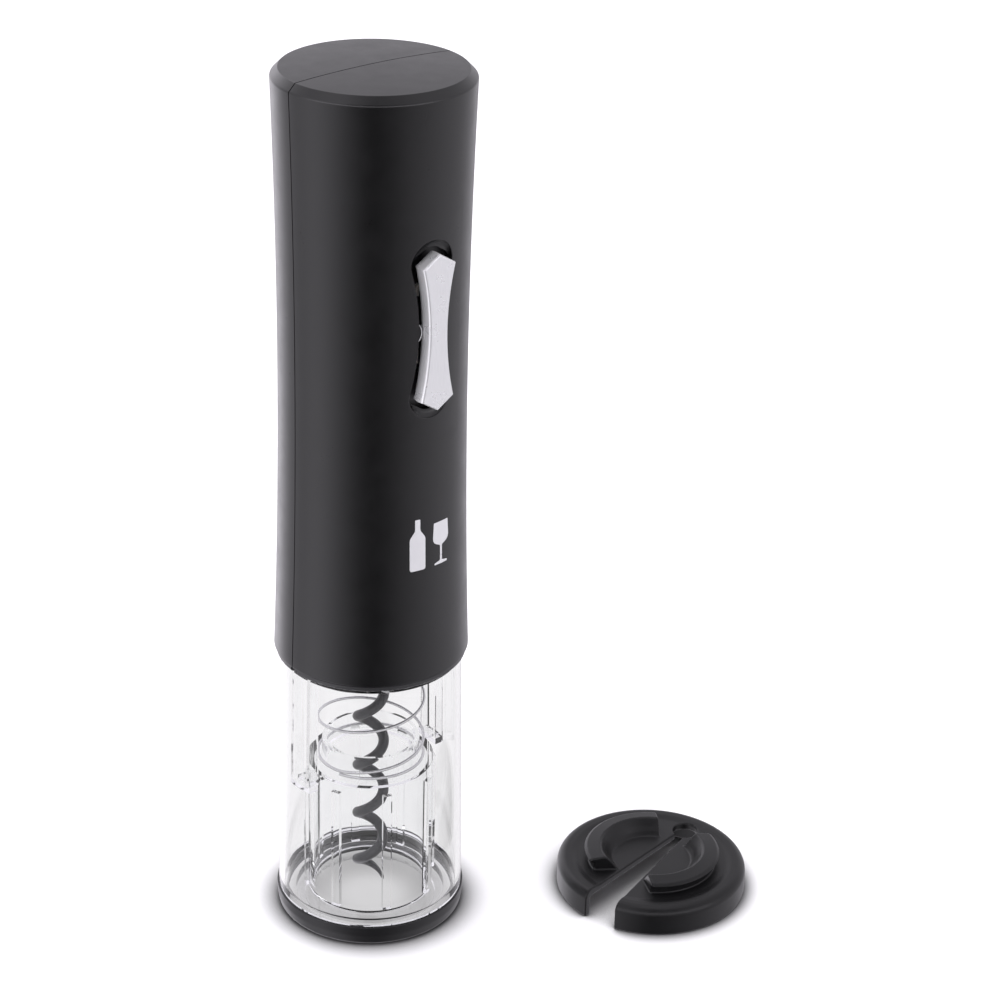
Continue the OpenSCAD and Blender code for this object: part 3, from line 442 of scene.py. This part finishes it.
def make_object(name, bm, material, angle=32):
    """Turns a bmesh in millimetres into a smooth-shaded piece, with edges past angle degrees
    left sharp."""
    bmesh.ops.remove_doubles(bm, verts=bm.verts, dist=1e-5)
    bmesh.ops.recalc_face_normals(bm, faces=bm.faces)
    bmesh.ops.scale(bm, vec=(MM, MM, MM), verts=bm.verts)
    mesh = bpy.data.meshes.new(name)
    bm.to_mesh(mesh)
    bm.free()
    obj = add_object(name, mesh, material)
    mesh.set_sharp_from_angle(angle=math.radians(angle))
    return obj


def weighted(obj):
    """Lets the wide faces set the shading, so that flats stay flat beside their rounded edges."""
    m = obj.modifiers.new("normals", "WEIGHTED_NORMAL")
    m.keep_sharp = True
    m.weight = 80
    return obj


def lathe(bm, outline, steps=160, place=None):
    """Adds a ring made by turning a closed outline of (r, z) all the way about Z."""
    rings = []
    for k in range(steps):
        a = math.tau * k / steps
        rings.append([bm.verts.new((r * math.cos(a), r * math.sin(a), z)) for r, z in outline])
    count = len(outline)
    for k in range(steps):
        a, b = rings[k], rings[(k + 1) % steps]
        for i in range(count):
            j = (i + 1) % count
            if outline[i][0] < 1e-6 and outline[j][0] < 1e-6:
                continue
            quad = [a[i], a[j], b[j], b[i]]
            if outline[i][0] < 1e-6:
                quad = [a[i], a[j], b[j]]
            elif outline[j][0] < 1e-6:
                quad = [a[i], a[j], b[i]]
            bm.faces.new(quad)
    if place is not None:
        verts = [v for ring in rings for v in ring]
        bmesh.ops.transform(bm, matrix=place, verts=verts)


def tube(bm, path, radii, sides=20):
    """Adds a closed round tube through the points of path."""
    path = [Vector(p) for p in path]
    rings = []
    last_up = None
    for i, p in enumerate(path):
        heading = (path[min(i + 1, len(path) - 1)] - path[max(i - 1, 0)]).normalized()
        up = last_up if last_up is not None else heading.orthogonal()
        up = (up - heading * up.dot(heading)).normalized()
        last_up = up
        side = heading.cross(up)
        r = radii[i] if isinstance(radii, list) else radii
        rings.append([bm.verts.new(p + r * (math.cos(math.tau * k / sides) * up
                                            + math.sin(math.tau * k / sides) * side))
                      for k in range(sides)])
    for a, b in zip(rings, rings[1:]):
        for k in range(sides):
            bm.faces.new([a[k], a[(k + 1) % sides], b[(k + 1) % sides], b[k]])
    bm.faces.new(rings[0][::-1])
    bm.faces.new(rings[-1])


def stack(bm, outline, levels, to_space):
    """Adds a closed solid from insets of one outline: levels are (inset, depth), first to last,
    and to_space(x, y, depth) places a point."""
    count = len(outline)
    pts = np.array(outline, float)
    before, after = np.roll(pts, 1, 0), np.roll(pts, -1, 0)
    e0, e1 = pts - before, after - pts
    n0 = np.stack([-e0[:, 1], e0[:, 0]], 1) / np.linalg.norm(e0, axis=1)[:, None]
    n1 = np.stack([-e1[:, 1], e1[:, 0]], 1) / np.linalg.norm(e1, axis=1)[:, None]
    mitre = (n0 + n1) / (1 + np.sum(n0 * n1, 1))[:, None]
    area = np.sum(pts[:, 0] * after[:, 1] - after[:, 0] * pts[:, 1])
    inward = mitre if area > 0 else -mitre
    rings = []
    for inset, depth in levels:
        at = pts + inward * inset
        rings.append([bm.verts.new(to_space(x, y, depth)) for x, y in at])
    for a, b in zip(rings, rings[1:]):
        for k in range(count):
            bm.faces.new([a[k], a[(k + 1) % count], b[(k + 1) % count], b[k]])
    bm.faces.new(rings[0][::-1])
    bm.faces.new(rings[-1])


def round_box(bm, low, high, edge=0.3, steps=2):
    """Adds a box with rounded edges."""
    made = bmesh.ops.create_cube(bm, size=1.0)["verts"]
    size = Vector(high) - Vector(low)
    bmesh.ops.scale(bm, vec=size, verts=made)
    bmesh.ops.translate(bm, vec=(Vector(high) + Vector(low)) / 2, verts=made)
    edges = list(dict.fromkeys(e for v in made for e in v.link_edges))
    bmesh.ops.bevel(bm, geom=edges, offset=edge, segments=steps, profile=0.5, affect="EDGES")


def ride(obj, body, slot, *replaced):
    """Puts a piece on its body, and hides the CAD nodes that it stands for. slot is not used."""
    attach(obj, body)
    if replaced:
        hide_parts(*replaced)


# ---------- Rounded solids from distance fields ----------

def round_and(a, b, r):
    """Where both solids are, with an edge of radius r."""
    return np.minimum(-r, np.maximum(a, b)) + np.hypot(np.maximum(r + a, 0), np.maximum(r + b, 0))


def round_or(a, b, r):
    """Where either solid is, with a fillet of radius r."""
    return -round_and(-a, -b, r)


def outline_distance(px, py, outline):
    """Signed distance to a closed outline, negative inside."""
    best = np.full(px.shape, 1e9)
    inside = np.zeros(px.shape, bool)
    for (ax, ay), (bx, by) in zip(outline, outline[1:] + outline[:1]):
        ex, ey = bx - ax, by - ay
        t = np.clip(((px - ax) * ex + (py - ay) * ey) / (ex * ex + ey * ey), 0, 1)
        best = np.minimum(best, np.hypot(px - ax - t * ex, py - ay - t * ey))
        if ey:
            crossed = ((ay > py) != (by > py)) & (px < ex * (py - ay) / ey + ax)
            inside ^= crossed
    return np.where(inside, -best, best)


def net(name, field, low, high, cell, material):
    """A smooth mesh of the surface where field(x, y, z) is 0, with a vertex in each cell that it
    crosses. The field's own slope shades it."""
    axes = [np.arange(a - cell, b + 2 * cell, cell) for a, b in zip(low, high)]
    grid = np.meshgrid(*axes, indexing="ij")
    value = field(*grid)
    inside = value < 0
    shape = [s - 1 for s in value.shape]

    def corner(array, dx, dy, dz):
        return array[dx:shape[0] + dx, dy:shape[1] + dy, dz:shape[2] + dz]

    corners = [(dx, dy, dz) for dx in (0, 1) for dy in (0, 1) for dz in (0, 1)]
    filled = sum(corner(inside, *c).astype(int) for c in corners)
    cells = np.argwhere((filled > 0) & (filled < 8))
    index = np.full(shape, -1)
    index[tuple(cells.T)] = np.arange(len(cells))
    total = np.zeros((len(cells), 3))
    hits = np.zeros(len(cells))
    for axis in range(3):
        for c in corners:
            if c[axis]:
                continue
            other = list(c)
            other[axis] = 1
            v0 = value[tuple((cells + c).T)]
            v1 = value[tuple((cells + other).T)]
            cut = (v0 < 0) != (v1 < 0)
            t = np.where(cut, v0 / np.where(cut, v0 - v1, 1), 0)
            at = np.array(c, float)[None] + 0 * total
            at[:, axis] += t
            total += at * cut[:, None]
            hits += cut
    points = np.array([a[0] for a in axes]) + (cells + total / hits[:, None]) * cell
    step = cell * 0.05

    def slope(p):
        out = np.zeros_like(p)
        for axis in range(3):
            d = np.zeros(3)
            d[axis] = step
            out[:, axis] = (field(*(p + d).T) - field(*(p - d).T)) / (2 * step)
        return out

    for _ in range(4):
        g = slope(points)
        move = field(*points.T)[:, None] * g / np.maximum((g * g).sum(1), 0.05)[:, None]
        length = np.linalg.norm(move, axis=1)[:, None]
        points -= move * np.minimum(1, 0.5 * cell / np.maximum(length, 1e-9))
    quads = []
    for axis in range(3):
        a, b = [(1, 2), (2, 0), (0, 1)][axis]
        one = np.moveaxis(inside, axis, 0)
        change = np.argwhere(one[:-1] != one[1:])
        spot = np.empty_like(change)
        rest = [x for x in range(3) if x != axis]
        spot[:, axis] = change[:, 0]
        spot[:, rest[0]] = change[:, 1]
        spot[:, rest[1]] = change[:, 2]
        start_in = inside[tuple(spot.T)]
        around = []
        for da, db in ((-1, -1), (0, -1), (0, 0), (-1, 0)):
            c = spot.copy()
            c[:, a] += da
            c[:, b] += db
            around.append(index[tuple(c.T)])
        quad = np.stack(around, 1)
        quad[~start_in] = quad[~start_in][:, ::-1]
        quads.append(quad)
    mesh = bpy.data.meshes.new(name)
    mesh.from_pydata((points * MM).tolist(), [], np.concatenate(quads).tolist())
    obj = add_object(name, mesh, material)
    g = slope(points)
    mesh.normals_split_custom_set_from_vertices(
        (g / np.linalg.norm(g, axis=1)[:, None]).tolist())
    return obj


# ---------- Housing ----------

SHELL_LOW, SHELL_HIGH = node_box("front_shell")
SHELL_BOTTOM = SHELL_LOW.z
CROWN = 0.8                          # rise of the domed top face
TOP_Z = SHELL_HIGH.z - CROWN         # height of the top face's edge
FLARE_R = 2150.0                     # the sides are an arc of this radius
WAIST_Z = 165.0
SHELL_T = 1.9
SEAM = 0.15                          # half the seam's width
TOP_CHAMFER = 2.0
BUTTON_LOW, BUTTON_HIGH = node_box("rocker_button")
BUTTON_Z = (BUTTON_LOW.z + BUTTON_HIGH.z) / 2
RECESS_W, RECESS_WAIST, RECESS_L = 12.6, 7.6, 47.2   # the recess round the button
LUG_R, LUG_X = 3.2, 6.35             # the round lug at each side of the recess's waist
FOOT_RISE = (WAIST_Z - SHELL_BOTTOM) ** 2 / (2 * FLARE_R)
WAIST_R = SHELL_HIGH.x - FOOT_RISE   # the shell is widest at its lower edge
FOOT_POINTS = 3                      # points of a shell's outline below its rows


def side_r(z):
    """Outer radius of the housing at height z."""
    return WAIST_R + FLARE_R - math.sqrt(FLARE_R ** 2 - (z - WAIST_Z) ** 2)


def shell_outlines(rows):
    """Outer and inner outlines of a shell, each from the bottom edge up the side to the middle of
    the top: two lists of (r, z) with the same length, with FOOT_POINTS before the rows."""
    edge_r = side_r(TOP_Z - TOP_CHAMFER)
    disc_r = edge_r - TOP_CHAMFER
    dome_r = (disc_r ** 2 + CROWN ** 2) / (2 * CROWN)
    crest = [(disc_r * (1 - k / 12), 0) for k in range(1, 13)]
    crest = [(r, TOP_Z + CROWN - dome_r + math.sqrt(dome_r ** 2 - r ** 2)) for r, _ in crest]
    foot = side_r(SHELL_BOTTOM)
    # the outer two points only aim the arcs at the side and at the domed top
    shoulder = rounded([(side_r(TOP_Z - 12), TOP_Z - 12), (edge_r, TOP_Z - TOP_CHAMFER, 0.9),
                        (disc_r, TOP_Z, 0.3), (disc_r - 4, TOP_Z + 4 * CROWN / disc_r * 1.6)], 5)
    shoulder = shoulder[1:-1]
    outer = [(foot - 0.45, SHELL_BOTTOM), (foot - 0.13, SHELL_BOTTOM + 0.12),
             (foot, SHELL_BOTTOM + 0.45)]
    outer += [(side_r(z), z) for z in rows] + shoulder + crest
    inner_top = TOP_Z - SHELL_T
    inner = [(foot - SHELL_T, SHELL_BOTTOM)] * 2 + [(foot - SHELL_T, SHELL_BOTTOM + 0.45)]
    inner += [(side_r(z) - SHELL_T, z) for z in rows]
    wall_r = edge_r - SHELL_T
    inner_r = disc_r - SHELL_T * 0.4
    for k in range(len(shoulder)):
        share = k / (len(shoulder) - 1)
        inner.append((wall_r - (wall_r - inner_r) * share, inner_top - 2 + 2 * share))
    inner += [(r * inner_r / disc_r, z - SHELL_T) for r, z in crest]
    return outer, inner


def half_shell(bm, side, window):
    """Adds one half of the housing: side is -1 for the front and 1 for the rear. window leaves a
    gap in the rows and columns round the button, and fills it with the recess."""
    reach = 30
    low, high = BUTTON_Z - reach, BUTTON_Z + reach
    # rows lie close together at the round lugs and wider apart towards the ends
    beside = [0.4 * k for k in range(11)] + [5.6 + 1.6 * k for k in range(8)]
    beside += [18.6, 21, 24, 27, reach]
    rows = {BUTTON_Z + sign * d for d in beside for sign in (-1, 1)}
    rows |= {z for z in np.arange(SHELL_BOTTOM + 3, TOP_Z - 5, 3.5)
             if not low - 1.2 < z < high + 1.2}
    rows = sorted(rows)
    outer, inner = shell_outlines(rows)
    columns, window_half = 96, 13
    first, last = columns // 2 - window_half, columns // 2 + window_half

    def place(r, z, k):
        if r <= SEAM:
            return (0.0, side * SEAM, z)
        edge = math.asin(SEAM / r)
        a = edge + (math.pi - 2 * edge) * k / columns
        return (r * math.cos(a), side * r * math.sin(a), z)

    grids = []
    for outline in (outer, inner):
        grids.append([[bm.verts.new(place(r, z, k)) for k in range(columns + 1)]
                      for r, z in outline])
    row_low = FOOT_POINTS + rows.index(low)
    row_high = FOOT_POINTS + rows.index(high)
    for grid in grids:
        for i in range(len(grid) - 1):
            for k in range(columns):
                if window and row_low <= i < row_high and first <= k < last:
                    continue
                corners = [grid[i][k], grid[i][k + 1], grid[i + 1][k + 1], grid[i + 1][k]]
                bm.faces.new(corners)
    out, inn = grids
    for k in range(columns):
        bm.faces.new([out[0][k], out[0][k + 1], inn[0][k + 1], inn[0][k]])
    for k in (0, columns):
        for i in range(len(out) - 1):
            bm.faces.new([out[i][k], out[i + 1][k], inn[i + 1][k], inn[i][k]])
    if not window:
        return
    border = ([(row_low, k) for k in range(first, last)]
              + [(i, last) for i in range(row_low, row_high)]
              + [(row_high, k) for k in range(last, first, -1)]
              + [(i, first) for i in range(row_high, row_low, -1)])
    cut_window(bm, side, [out[i][k] for i, k in border], [inn[i][k] for i, k in border])


def recess_edge(x, z):
    """The point of the recess's outline that faces (x, z), and the way outwards from it. Both are
    measured from the button's centre."""
    end_r = RECESS_W / 2
    end_z = RECESS_L / 2 - end_r
    if abs(z) > end_z:
        centre = Vector((0, math.copysign(end_z, z)))
        away = (Vector((x, z)) - centre).normalized()
        return centre + away * end_r, away
    inset = (RECESS_W - RECESS_WAIST) / 2
    side_arc_r = (end_z ** 2 + inset ** 2) / (2 * inset)
    half = RECESS_WAIST / 2 + side_arc_r - math.sqrt(side_arc_r ** 2 - z ** 2)
    if abs(z) < LUG_R:
        half = min(half, LUG_X - math.sqrt(LUG_R ** 2 - z ** 2))
    sign = math.copysign(1, x)
    return Vector((sign * half, z)), Vector((sign, 0))


def cut_window(bm, side, outer_loop, inner_loop):
    """Fills the gap round the button's recess: the surface, a rounded lip, a dish for the fingertip
    at each end, and the wall through the shell."""
    lip = 0.3
    dish_w, dish_depth = 1.9, 1.25

    def place(p, depth=0.0):
        r = side_r(p.y + BUTTON_Z) - depth
        return Vector((p.x, side * math.sqrt(r * r - p.x ** 2), p.y + BUTTON_Z))

    loops = []
    for v in outer_loop:
        here = Vector((v.co.x, v.co.z - BUTTON_Z))
        edge, away = recess_edge(*here)
        gap = here - edge - away * lip
        chain = [place(edge + away * lip + gap * part) for part in (0.72, 0.48, 0.28, 0.13, 0.04)]
        start, corner, end = place(edge + away * lip), place(edge), place(edge, lip)
        for k in range(5):
            t = k / 4
            chain.append((1 - t) ** 2 * start + 2 * t * (1 - t) * corner + t * t * end)
        dish = dish_w * float(smooth(abs(away.y) / 0.8))
        for k in range(1, 7):
            chain.append(place(edge - away * dish * k / 6,
                               lip + (dish_depth - lip) * math.sin(math.radians(15 * k))))
        foot = edge - away * dish
        chain += [place(foot - away * 0.02, dish_depth + 0.1), place(foot, SHELL_T)]
        chain += [place(foot + (here - foot) * part, SHELL_T) for part in (0.3, 0.65)]
        loops.append([v] + [bm.verts.new(p) for p in chain])
    for loop, v in zip(loops, inner_loop):
        loop.append(v)
    count = len(loops)
    for k in range(count):
        a, b = loops[k], loops[(k + 1) % count]
        for i in range(len(a) - 1):
            bm.faces.new([a[i], a[i + 1], b[i + 1], b[i]])


BOSS_PLACES = [(19.3, 128.0), (18.6, 176.0)]
BOSS_R, BOSS_HOLE_R, BOSS_HOLE_DEPTH = 2.2, 0.9, 7.3
BOSS_END_Y = -2.3


def screw_bosses(bm):
    """The four bosses inside the front shell, each with its pilot hole."""
    backwards = Matrix.Rotation(math.radians(-90), 4, "X")
    for x, z in BOSS_PLACES:
        root = math.sqrt((side_r(z) - SHELL_T / 2) ** 2 - (x + BOSS_R) ** 2)
        length = root + BOSS_END_Y
        floor = length - BOSS_HOLE_DEPTH
        outline = rounded([(0, 0), (BOSS_R, 0), (BOSS_R, length, 0.25), (BOSS_HOLE_R, length, 0.15),
                           (BOSS_HOLE_R, floor), (0, floor)], 3)
        for sign in (-1, 1):
            lathe(bm, outline, 40, Matrix.Translation((sign * x, -root, z)) @ backwards)


COVER_CATCH_ZS = (142, 192)
CATCH_HIGH = 8


def make_housing(mats):
    """The front shell with its recess and bosses, and the rear cover with its four catches."""
    bm = bmesh.new()
    half_shell(bm, -1, True)
    screw_bosses(bm)
    shell = weighted(make_object("housing_front", bm, mats["housing_plastic"]))
    ride(shell, "opener", "housing_plastic", "front_shell")

    bm = bmesh.new()
    half_shell(bm, 1, False)
    for z in COVER_CATCH_ZS:
        for sign in (-1, 1):
            # a tongue that reaches into the front shell, and the foot that joins it to the cover
            for far_x, y_low, y_high in ((21.3, -4, 1), (23.1, SEAM, 5)):
                x_low, x_high = sorted((sign * 19.6, sign * far_x))
                round_box(bm, (x_low, y_low, z), (x_high, y_high, z + CATCH_HIGH), 0.3)
    cover = weighted(make_object("housing_rear", bm, mats["housing_plastic"]))
    ride(cover, "rear_cover", "housing_plastic", "rear_cover")


# ---------- Rocker button ----------

def make_button(mats):
    """The rocker: an hourglass outline with pointed ends, a flat face, a crisp bright bevel and
    softly bellied sides."""
    half_l = (BUTTON_HIGH.z - BUTTON_LOW.z) / 2
    half_w = (BUTTON_HIGH.x - BUTTON_LOW.x) / 2
    waist, point = 2.85, 3.2     # half the width at the waist, and the length of a pointed end
    shoulder_z = half_l - point
    steps = 24
    side = [(waist + (half_w - waist) * (k / steps) ** 2, k / steps * shoulder_z)
            for k in range(-steps, steps + 1)]
    outline = side + [(0, half_l)] + [(-x, z) for x, z in reversed(side)] + [(0, -half_l)]
    face = BUTTON_LOW.y
    back = -23.0
    # each level is (inset, y): the rounded back edge, the bellied side, then the bevel and the face
    levels = [(0.95, back), (0.75, back), (0.45, back - 0.12), (0.24, back - 0.5),
              (0.1, back - 1.1), (0.02, back - 1.9), (0.0, back - 2.6), (0.05, face + 0.8),
              (0.09, face + 0.5), (0.17, face + 0.25), (0.3, face + 0.09), (0.46, face + 0.01),
              (0.6, face), (0.95, face)]
    bm = bmesh.new()
    stack(bm, outline, levels, lambda x, z, y: (x, y, z + BUTTON_Z))
    button = weighted(make_object("button_face", bm, mats["button_silver"], 30))
    ride(button, "rocker", "button_silver")

    pin_low, pin_high = node_box("rocker_pin")
    pin_y = (pin_low.y + pin_high.y) / 2
    bm = bmesh.new()
    round_box(bm, (-2.5, back - 0.6, BUTTON_Z - 1.7), (2.5, pin_y, BUTTON_Z + 1.7), 0.2)
    leg_z, leg_end_y = 9, -20.25
    for z in (BUTTON_Z - leg_z, BUTTON_Z + leg_z):
        round_box(bm, (-1.3, back - 0.2, z - 1.5), (1.3, leg_end_y, z + 1.5), 0.25)
    bore_r, hub_r, hub_half = 0.86, 1.8, 2.6
    hub = rounded([(bore_r, -hub_half, 0.1), (hub_r, -hub_half, 0.15), (hub_r, hub_half, 0.15),
                   (bore_r, hub_half, 0.1)], 3)
    along_x = Matrix.Rotation(math.radians(90), 4, "Y")
    lathe(bm, hub, 48, Matrix.Translation((0, pin_y, BUTTON_Z)) @ along_x)
    hinge = weighted(make_object("button_hinge", bm, mats["button_silver"]))
    ride(hinge, "rocker", "button_silver", "rocker_button")


def make_rocker_shade_rib(mats):
    """Painted shade: a dark rib under the rocker, which hides the openings for its legs so that the
    gap round the button stays dark.
    """
    half_w, half_l = 2.5, 14
    front, back = -23.2, -21.85
    bm = bmesh.new()
    round_box(bm, (-half_w, front, BUTTON_Z - half_l), (half_w, back, BUTTON_Z + half_l), 0.3)
    ride(make_object("rocker_shade_rib", bm, mats["bezel_plastic"]), "rocker", "bezel_plastic")


def make_lug_highlights(mats):
    """A painted highlight: a thin silver wire along the edge of each round lug beside the button's
    waist, where the black edge catches light.
    """
    wire_r = 0.15
    reach = 50                   # degrees of arc to each side of the middle
    bm = bmesh.new()
    for sign in (-1, 1):
        path, radii = [], []
        for k in range(-12, 13):
            a = math.radians(reach * k / 12)
            x = sign * (LUG_X - (LUG_R + wire_r * 0.3) * math.cos(a))
            z = BUTTON_Z + LUG_R * math.sin(a)
            path.append((x, -math.sqrt((side_r(z) - 0.1) ** 2 - x * x), z))
            radii.append(wire_r * (1 - 0.8 * (k / 12) ** 2))
        tube(bm, path, radii, 12)
    ride(make_object("lug_painted_highlights", bm, mats["button_silver"], 60), "opener", "button_silver")


# ---------- Emblem ----------

def make_emblem(mats):
    """A small pictogram of a bottle and a glass, printed on the front below the button."""
    centre_z = 120.5
    proud, sunk = 0.06, 0.02     # how far the print stands out of the shell and reaches into it
    # each half outline is (x, z, radius), from the foot up, and its mirror image closes it
    bottle = [(1.9, -6, 0.5), (1.9, 1.6, 1.6), (0.62, 3.4, 1.2), (0.62, 6, 0.2)]
    glass = [(1.9, -6, 0.15), (1.9, -5.6, 0.15), (0.28, -5.2, 0.3), (0.28, -1.6, 0.4),
             (2.4, -0.6, 1.6), (2.1, 4, 0.15)]
    bm = bmesh.new()
    size = 1.2
    for half, shift in ((bottle, -3.2), (glass, 3.1)):
        mirrored = [(-x, z, radius) for x, z, radius in reversed(half)]
        outline = rounded(mirrored[-1:] + half + mirrored[:-1], 5)
        face = bm.faces.new([bm.verts.new(((x + shift) * size, 0, z * size)) for x, z in outline])
        face.normal_update()
    # strips narrow enough to bend round the housing
    for k in range(-16, 17):
        bmesh.ops.bisect_plane(bm, geom=bm.verts[:] + bm.edges[:] + bm.faces[:], dist=1e-6,
                               plane_co=(k * 0.45, 0, 0), plane_no=(1, 0, 0))
    bmesh.ops.recalc_face_normals(bm, faces=bm.faces)
    made = bmesh.ops.extrude_face_region(bm, geom=bm.faces[:])
    raised = [v for v in made["geom"] if isinstance(v, bmesh.types.BMVert)]
    heights = {v: proud for v in raised}
    for v in bm.verts:
        r = side_r(v.co.z + centre_z) + heights.get(v, -sunk)
        a = v.co.x / r
        v.co = Vector((r * math.sin(a), -r * math.cos(a), v.co.z + centre_z))
    emblem = make_object("emblem_print", bm, mats["emblem_silver"])
    ride(emblem, "opener", "button_silver")


# ---------- Base ----------

def make_base(mats):
    """The black ring at the foot, with a lip inside it."""
    _, high = node_box("base_ring")
    r, top = high.x, high.z
    bm = bmesh.new()
    inner, lip, lip_high = 24.5, 22.9, 1.2
    lathe(bm, rounded([(lip, 0, 0.15), (r - 0.6, 0, 1.2), (r, top * 0.55, 6.0), (r, top, 0.35),
                       (inner, top, 0.1), (inner, lip_high), (lip, lip_high, 0.15)], 6), 200)
    band = weighted(make_object("base_band", bm, mats["base_plastic"]))
    ride(band, "opener", "base_plastic", "base_ring")


# ---------- Worm and spring ----------

def make_worm(mats):
    """The corkscrew: one right-handed wire from its sharp point to its straight shank."""
    low, high = node_box("worm")
    tip, coil_top, shank, top = low.z, 75.0, 79.5, high.z
    coil_r, wire_r, pitch = 3.55, 1.45, 15.3
    front_z = 50                 # a height where the wire is at the camera's right
    point_length = 6
    steps = 190
    # (r, z) up the coil, then in to the axis and up the shank
    path = [(coil_r, tip + (coil_top - tip) * i / steps) for i in range(steps + 1)]
    for i in range(1, 13):
        z = coil_top + (shank - coil_top) * i / 12
        path.append((coil_r * max(0.0, 1 - ((z - coil_top) / (shank - coil_top)) ** 2), z))
    path += [(0.0, shank + 2), (0.0, top)]
    points, radii = [], []
    for r, z in path:
        a = CAMERA_TURN + math.tau * (z - front_z) / pitch
        points.append((r * math.cos(a), r * math.sin(a), z))
        radii.append(wire_r * min(1.0, 0.1 + 0.9 * (max(0.0, z - tip) / point_length) ** 0.7))
    bm = bmesh.new()
    tube(bm, points, radii, 28)
    ride(make_object("worm_wire", bm, mats["worm_coating"], 50), "output", "worm_coating", "worm")


def make_spring(mats):
    """The neck guide's spring, with a closed turn at each end."""
    low, high = node_box("guide_spring")
    wire, mean_r, pitch = 0.4, 14.4, 12.6    # wire is the radius of the wire
    rise = 2.2 * wire                        # of each closed end turn
    front_z = 51.7                           # a height where the wire is at the camera's right
    z0, z1 = low.z + wire, high.z - wire
    open_turns = (z1 - z0 - 2 * rise) / pitch
    turns = open_turns + 2
    start = CAMERA_TURN - math.tau * ((front_z - z0 - rise) / pitch + 1)
    count = 420
    points = []
    for i in range(count + 1):
        t = turns * i / count
        if t < 1:
            z = z0 + t * rise
        elif t < 1 + open_turns:
            z = z0 + rise + (t - 1) * pitch
        else:
            z = z1 - (turns - t) * rise
        a = start + math.tau * t
        points.append((mean_r * math.cos(a), mean_r * math.sin(a), z))
    bm = bmesh.new()
    tube(bm, points, wire, 14)
    spring = make_object("guide_coil", bm, mats["spring_steel"], 50)
    ride(spring, "opener", "spring_steel", "guide_spring")
    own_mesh(spring)


# ---------- Foil cutter ----------

CUTTER_R = 26.6
CUTTER_HIGH = 12.1                     # a little above the clip ring's top
CUTTER_TURN = math.radians(15.3)
CUTTER_CELL = 0.34                     # size of the mesh's cells
WHEEL_ANGLES = (58, 122, 238, 302)
WHEEL_RING_R = 17.6


def cutter_field(x, y, z):
    """The cutter in its own frame: its slot runs along X, from the wide open end at -X to the
    keyhole. A negative value is inside."""
    r = np.hypot(x, y)
    deck, rim, shoulder, wall_t = 7.8, 8.2, 2.6, 2
    top = deck + (rim - deck) * smooth((r - 20.5) / 2.5)
    body = round_and(r - CUTTER_R, z - top, shoulder)
    body = round_and(body, -z, 0.5)
    hollow = round_and(r - (CUTTER_R - wall_t), z - (deck - wall_t), 0.6)
    body = round_and(body, -hollow, 0.4)

    # the clip ring on the deck, with a wedge open at each end
    near = (r < 21.5) & (r > 8) & (z > 5)
    clip = np.full(x.shape, 5.0)
    outline = [(11.2, 6.8), (17.5, 6.8), (17.5, 10.1), (18.8, 10.7), (18.2, 11.15), (14.9, 11.75),
               (14.4, 11.5), (13.3, 10.1), (12.3, 8.7), (11.6, 7.9)]
    clip[near] = outline_distance(r[near], z[near], outline) - 0.28
    for sign, tip, slope in ((1, 6.2, 0.9), (-1, 7.1, 1.18)):
        wedge = (np.abs(y) - slope * (sign * x - tip)) / math.hypot(1, slope)
        clip = round_and(clip, -wedge, 0.45)
    shape = round_or(body, clip, 0.45)

    # the wheels' walls and bosses under the deck
    wall = round_and(round_and(r - 18, 16.4 - r, 0.2), np.abs(z - 3.9) - 2.9, 0.2)
    wall = np.maximum(wall, 12 - np.abs(y))
    for degrees in WHEEL_ANGLES:
        a = math.radians(degrees)
        along = x * math.cos(a) + y * math.sin(a)
        across = np.abs(y * math.cos(a) - x * math.sin(a))
        gap = np.maximum(across - 5.4, 10 - along)
        wall = np.maximum(wall, -gap)
    shape = np.minimum(shape, wall)
    for degrees in WHEEL_ANGLES:
        a = math.radians(degrees)
        boss = np.hypot(x - WHEEL_RING_R * math.cos(a), y - WHEEL_RING_R * math.sin(a)) - 2.4
        shape = round_or(shape, round_and(boss, np.abs(z - 5.9) - 1.0, 0.2), 0.3)

    keyhole_x, keyhole_r = 18, 3.5
    taper, lean = 0.083, 0.996         # lean is the cosine of the sides' slope
    half = 2.55 - taper * x
    slot = np.maximum((np.abs(y) - half) * lean, x - keyhole_x + 2)
    slot = round_or(slot, np.hypot(x - keyhole_x, y) - keyhole_r, 0.4)
    return round_and(shape, -slot, 0.4)


def make_cutter(mats):
    """The foil cutter's body, turned to where it lies beside the opener."""
    low, high = node_box("foil_cutter")
    # the open end of the slot cuts into the box's low X side
    centre = Vector((high.x - CUTTER_R, (low.y + high.y) / 2, 0)) * MM
    reach = 26.7                       # a little past the rim
    cutter = net("cutter_body", cutter_field, (-reach, -reach, 0), (reach, reach, CUTTER_HIGH),
                 CUTTER_CELL, mats["cutter_plastic"])
    cutter.data.transform(Matrix.Translation(centre) @ Matrix.Rotation(CUTTER_TURN, 4, "Z"))
    ride(cutter, "foil_cutter", "cutter_plastic", "foil_cutter")


# ---------- The scene ----------

make_camera()
make_world()
make_floor()
make_lamp("top_softbox", place=(-100, 100, 1500), size=(1400, 1400), watts=14)
scene.view_settings.view_transform = "Standard"

slot_names = {name: [slot.material.name for slot in node.material_slots]
              for name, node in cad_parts.items()}
materials = make_materials()
for name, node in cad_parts.items():
    for slot, slot_name in zip(node.material_slots, slot_names[name]):
        slot.material = materials[slot_name]

make_housing(materials)
make_button(materials)
# painted shade: a dark rib that keeps the gap round the button dark
make_rocker_shade_rib(materials)
# painted highlights: silver wires along the lugs' edges
make_lug_highlights(materials)
make_emblem(materials)
make_base(materials)
make_worm(materials)
make_spring(materials)
make_cutter(materials)
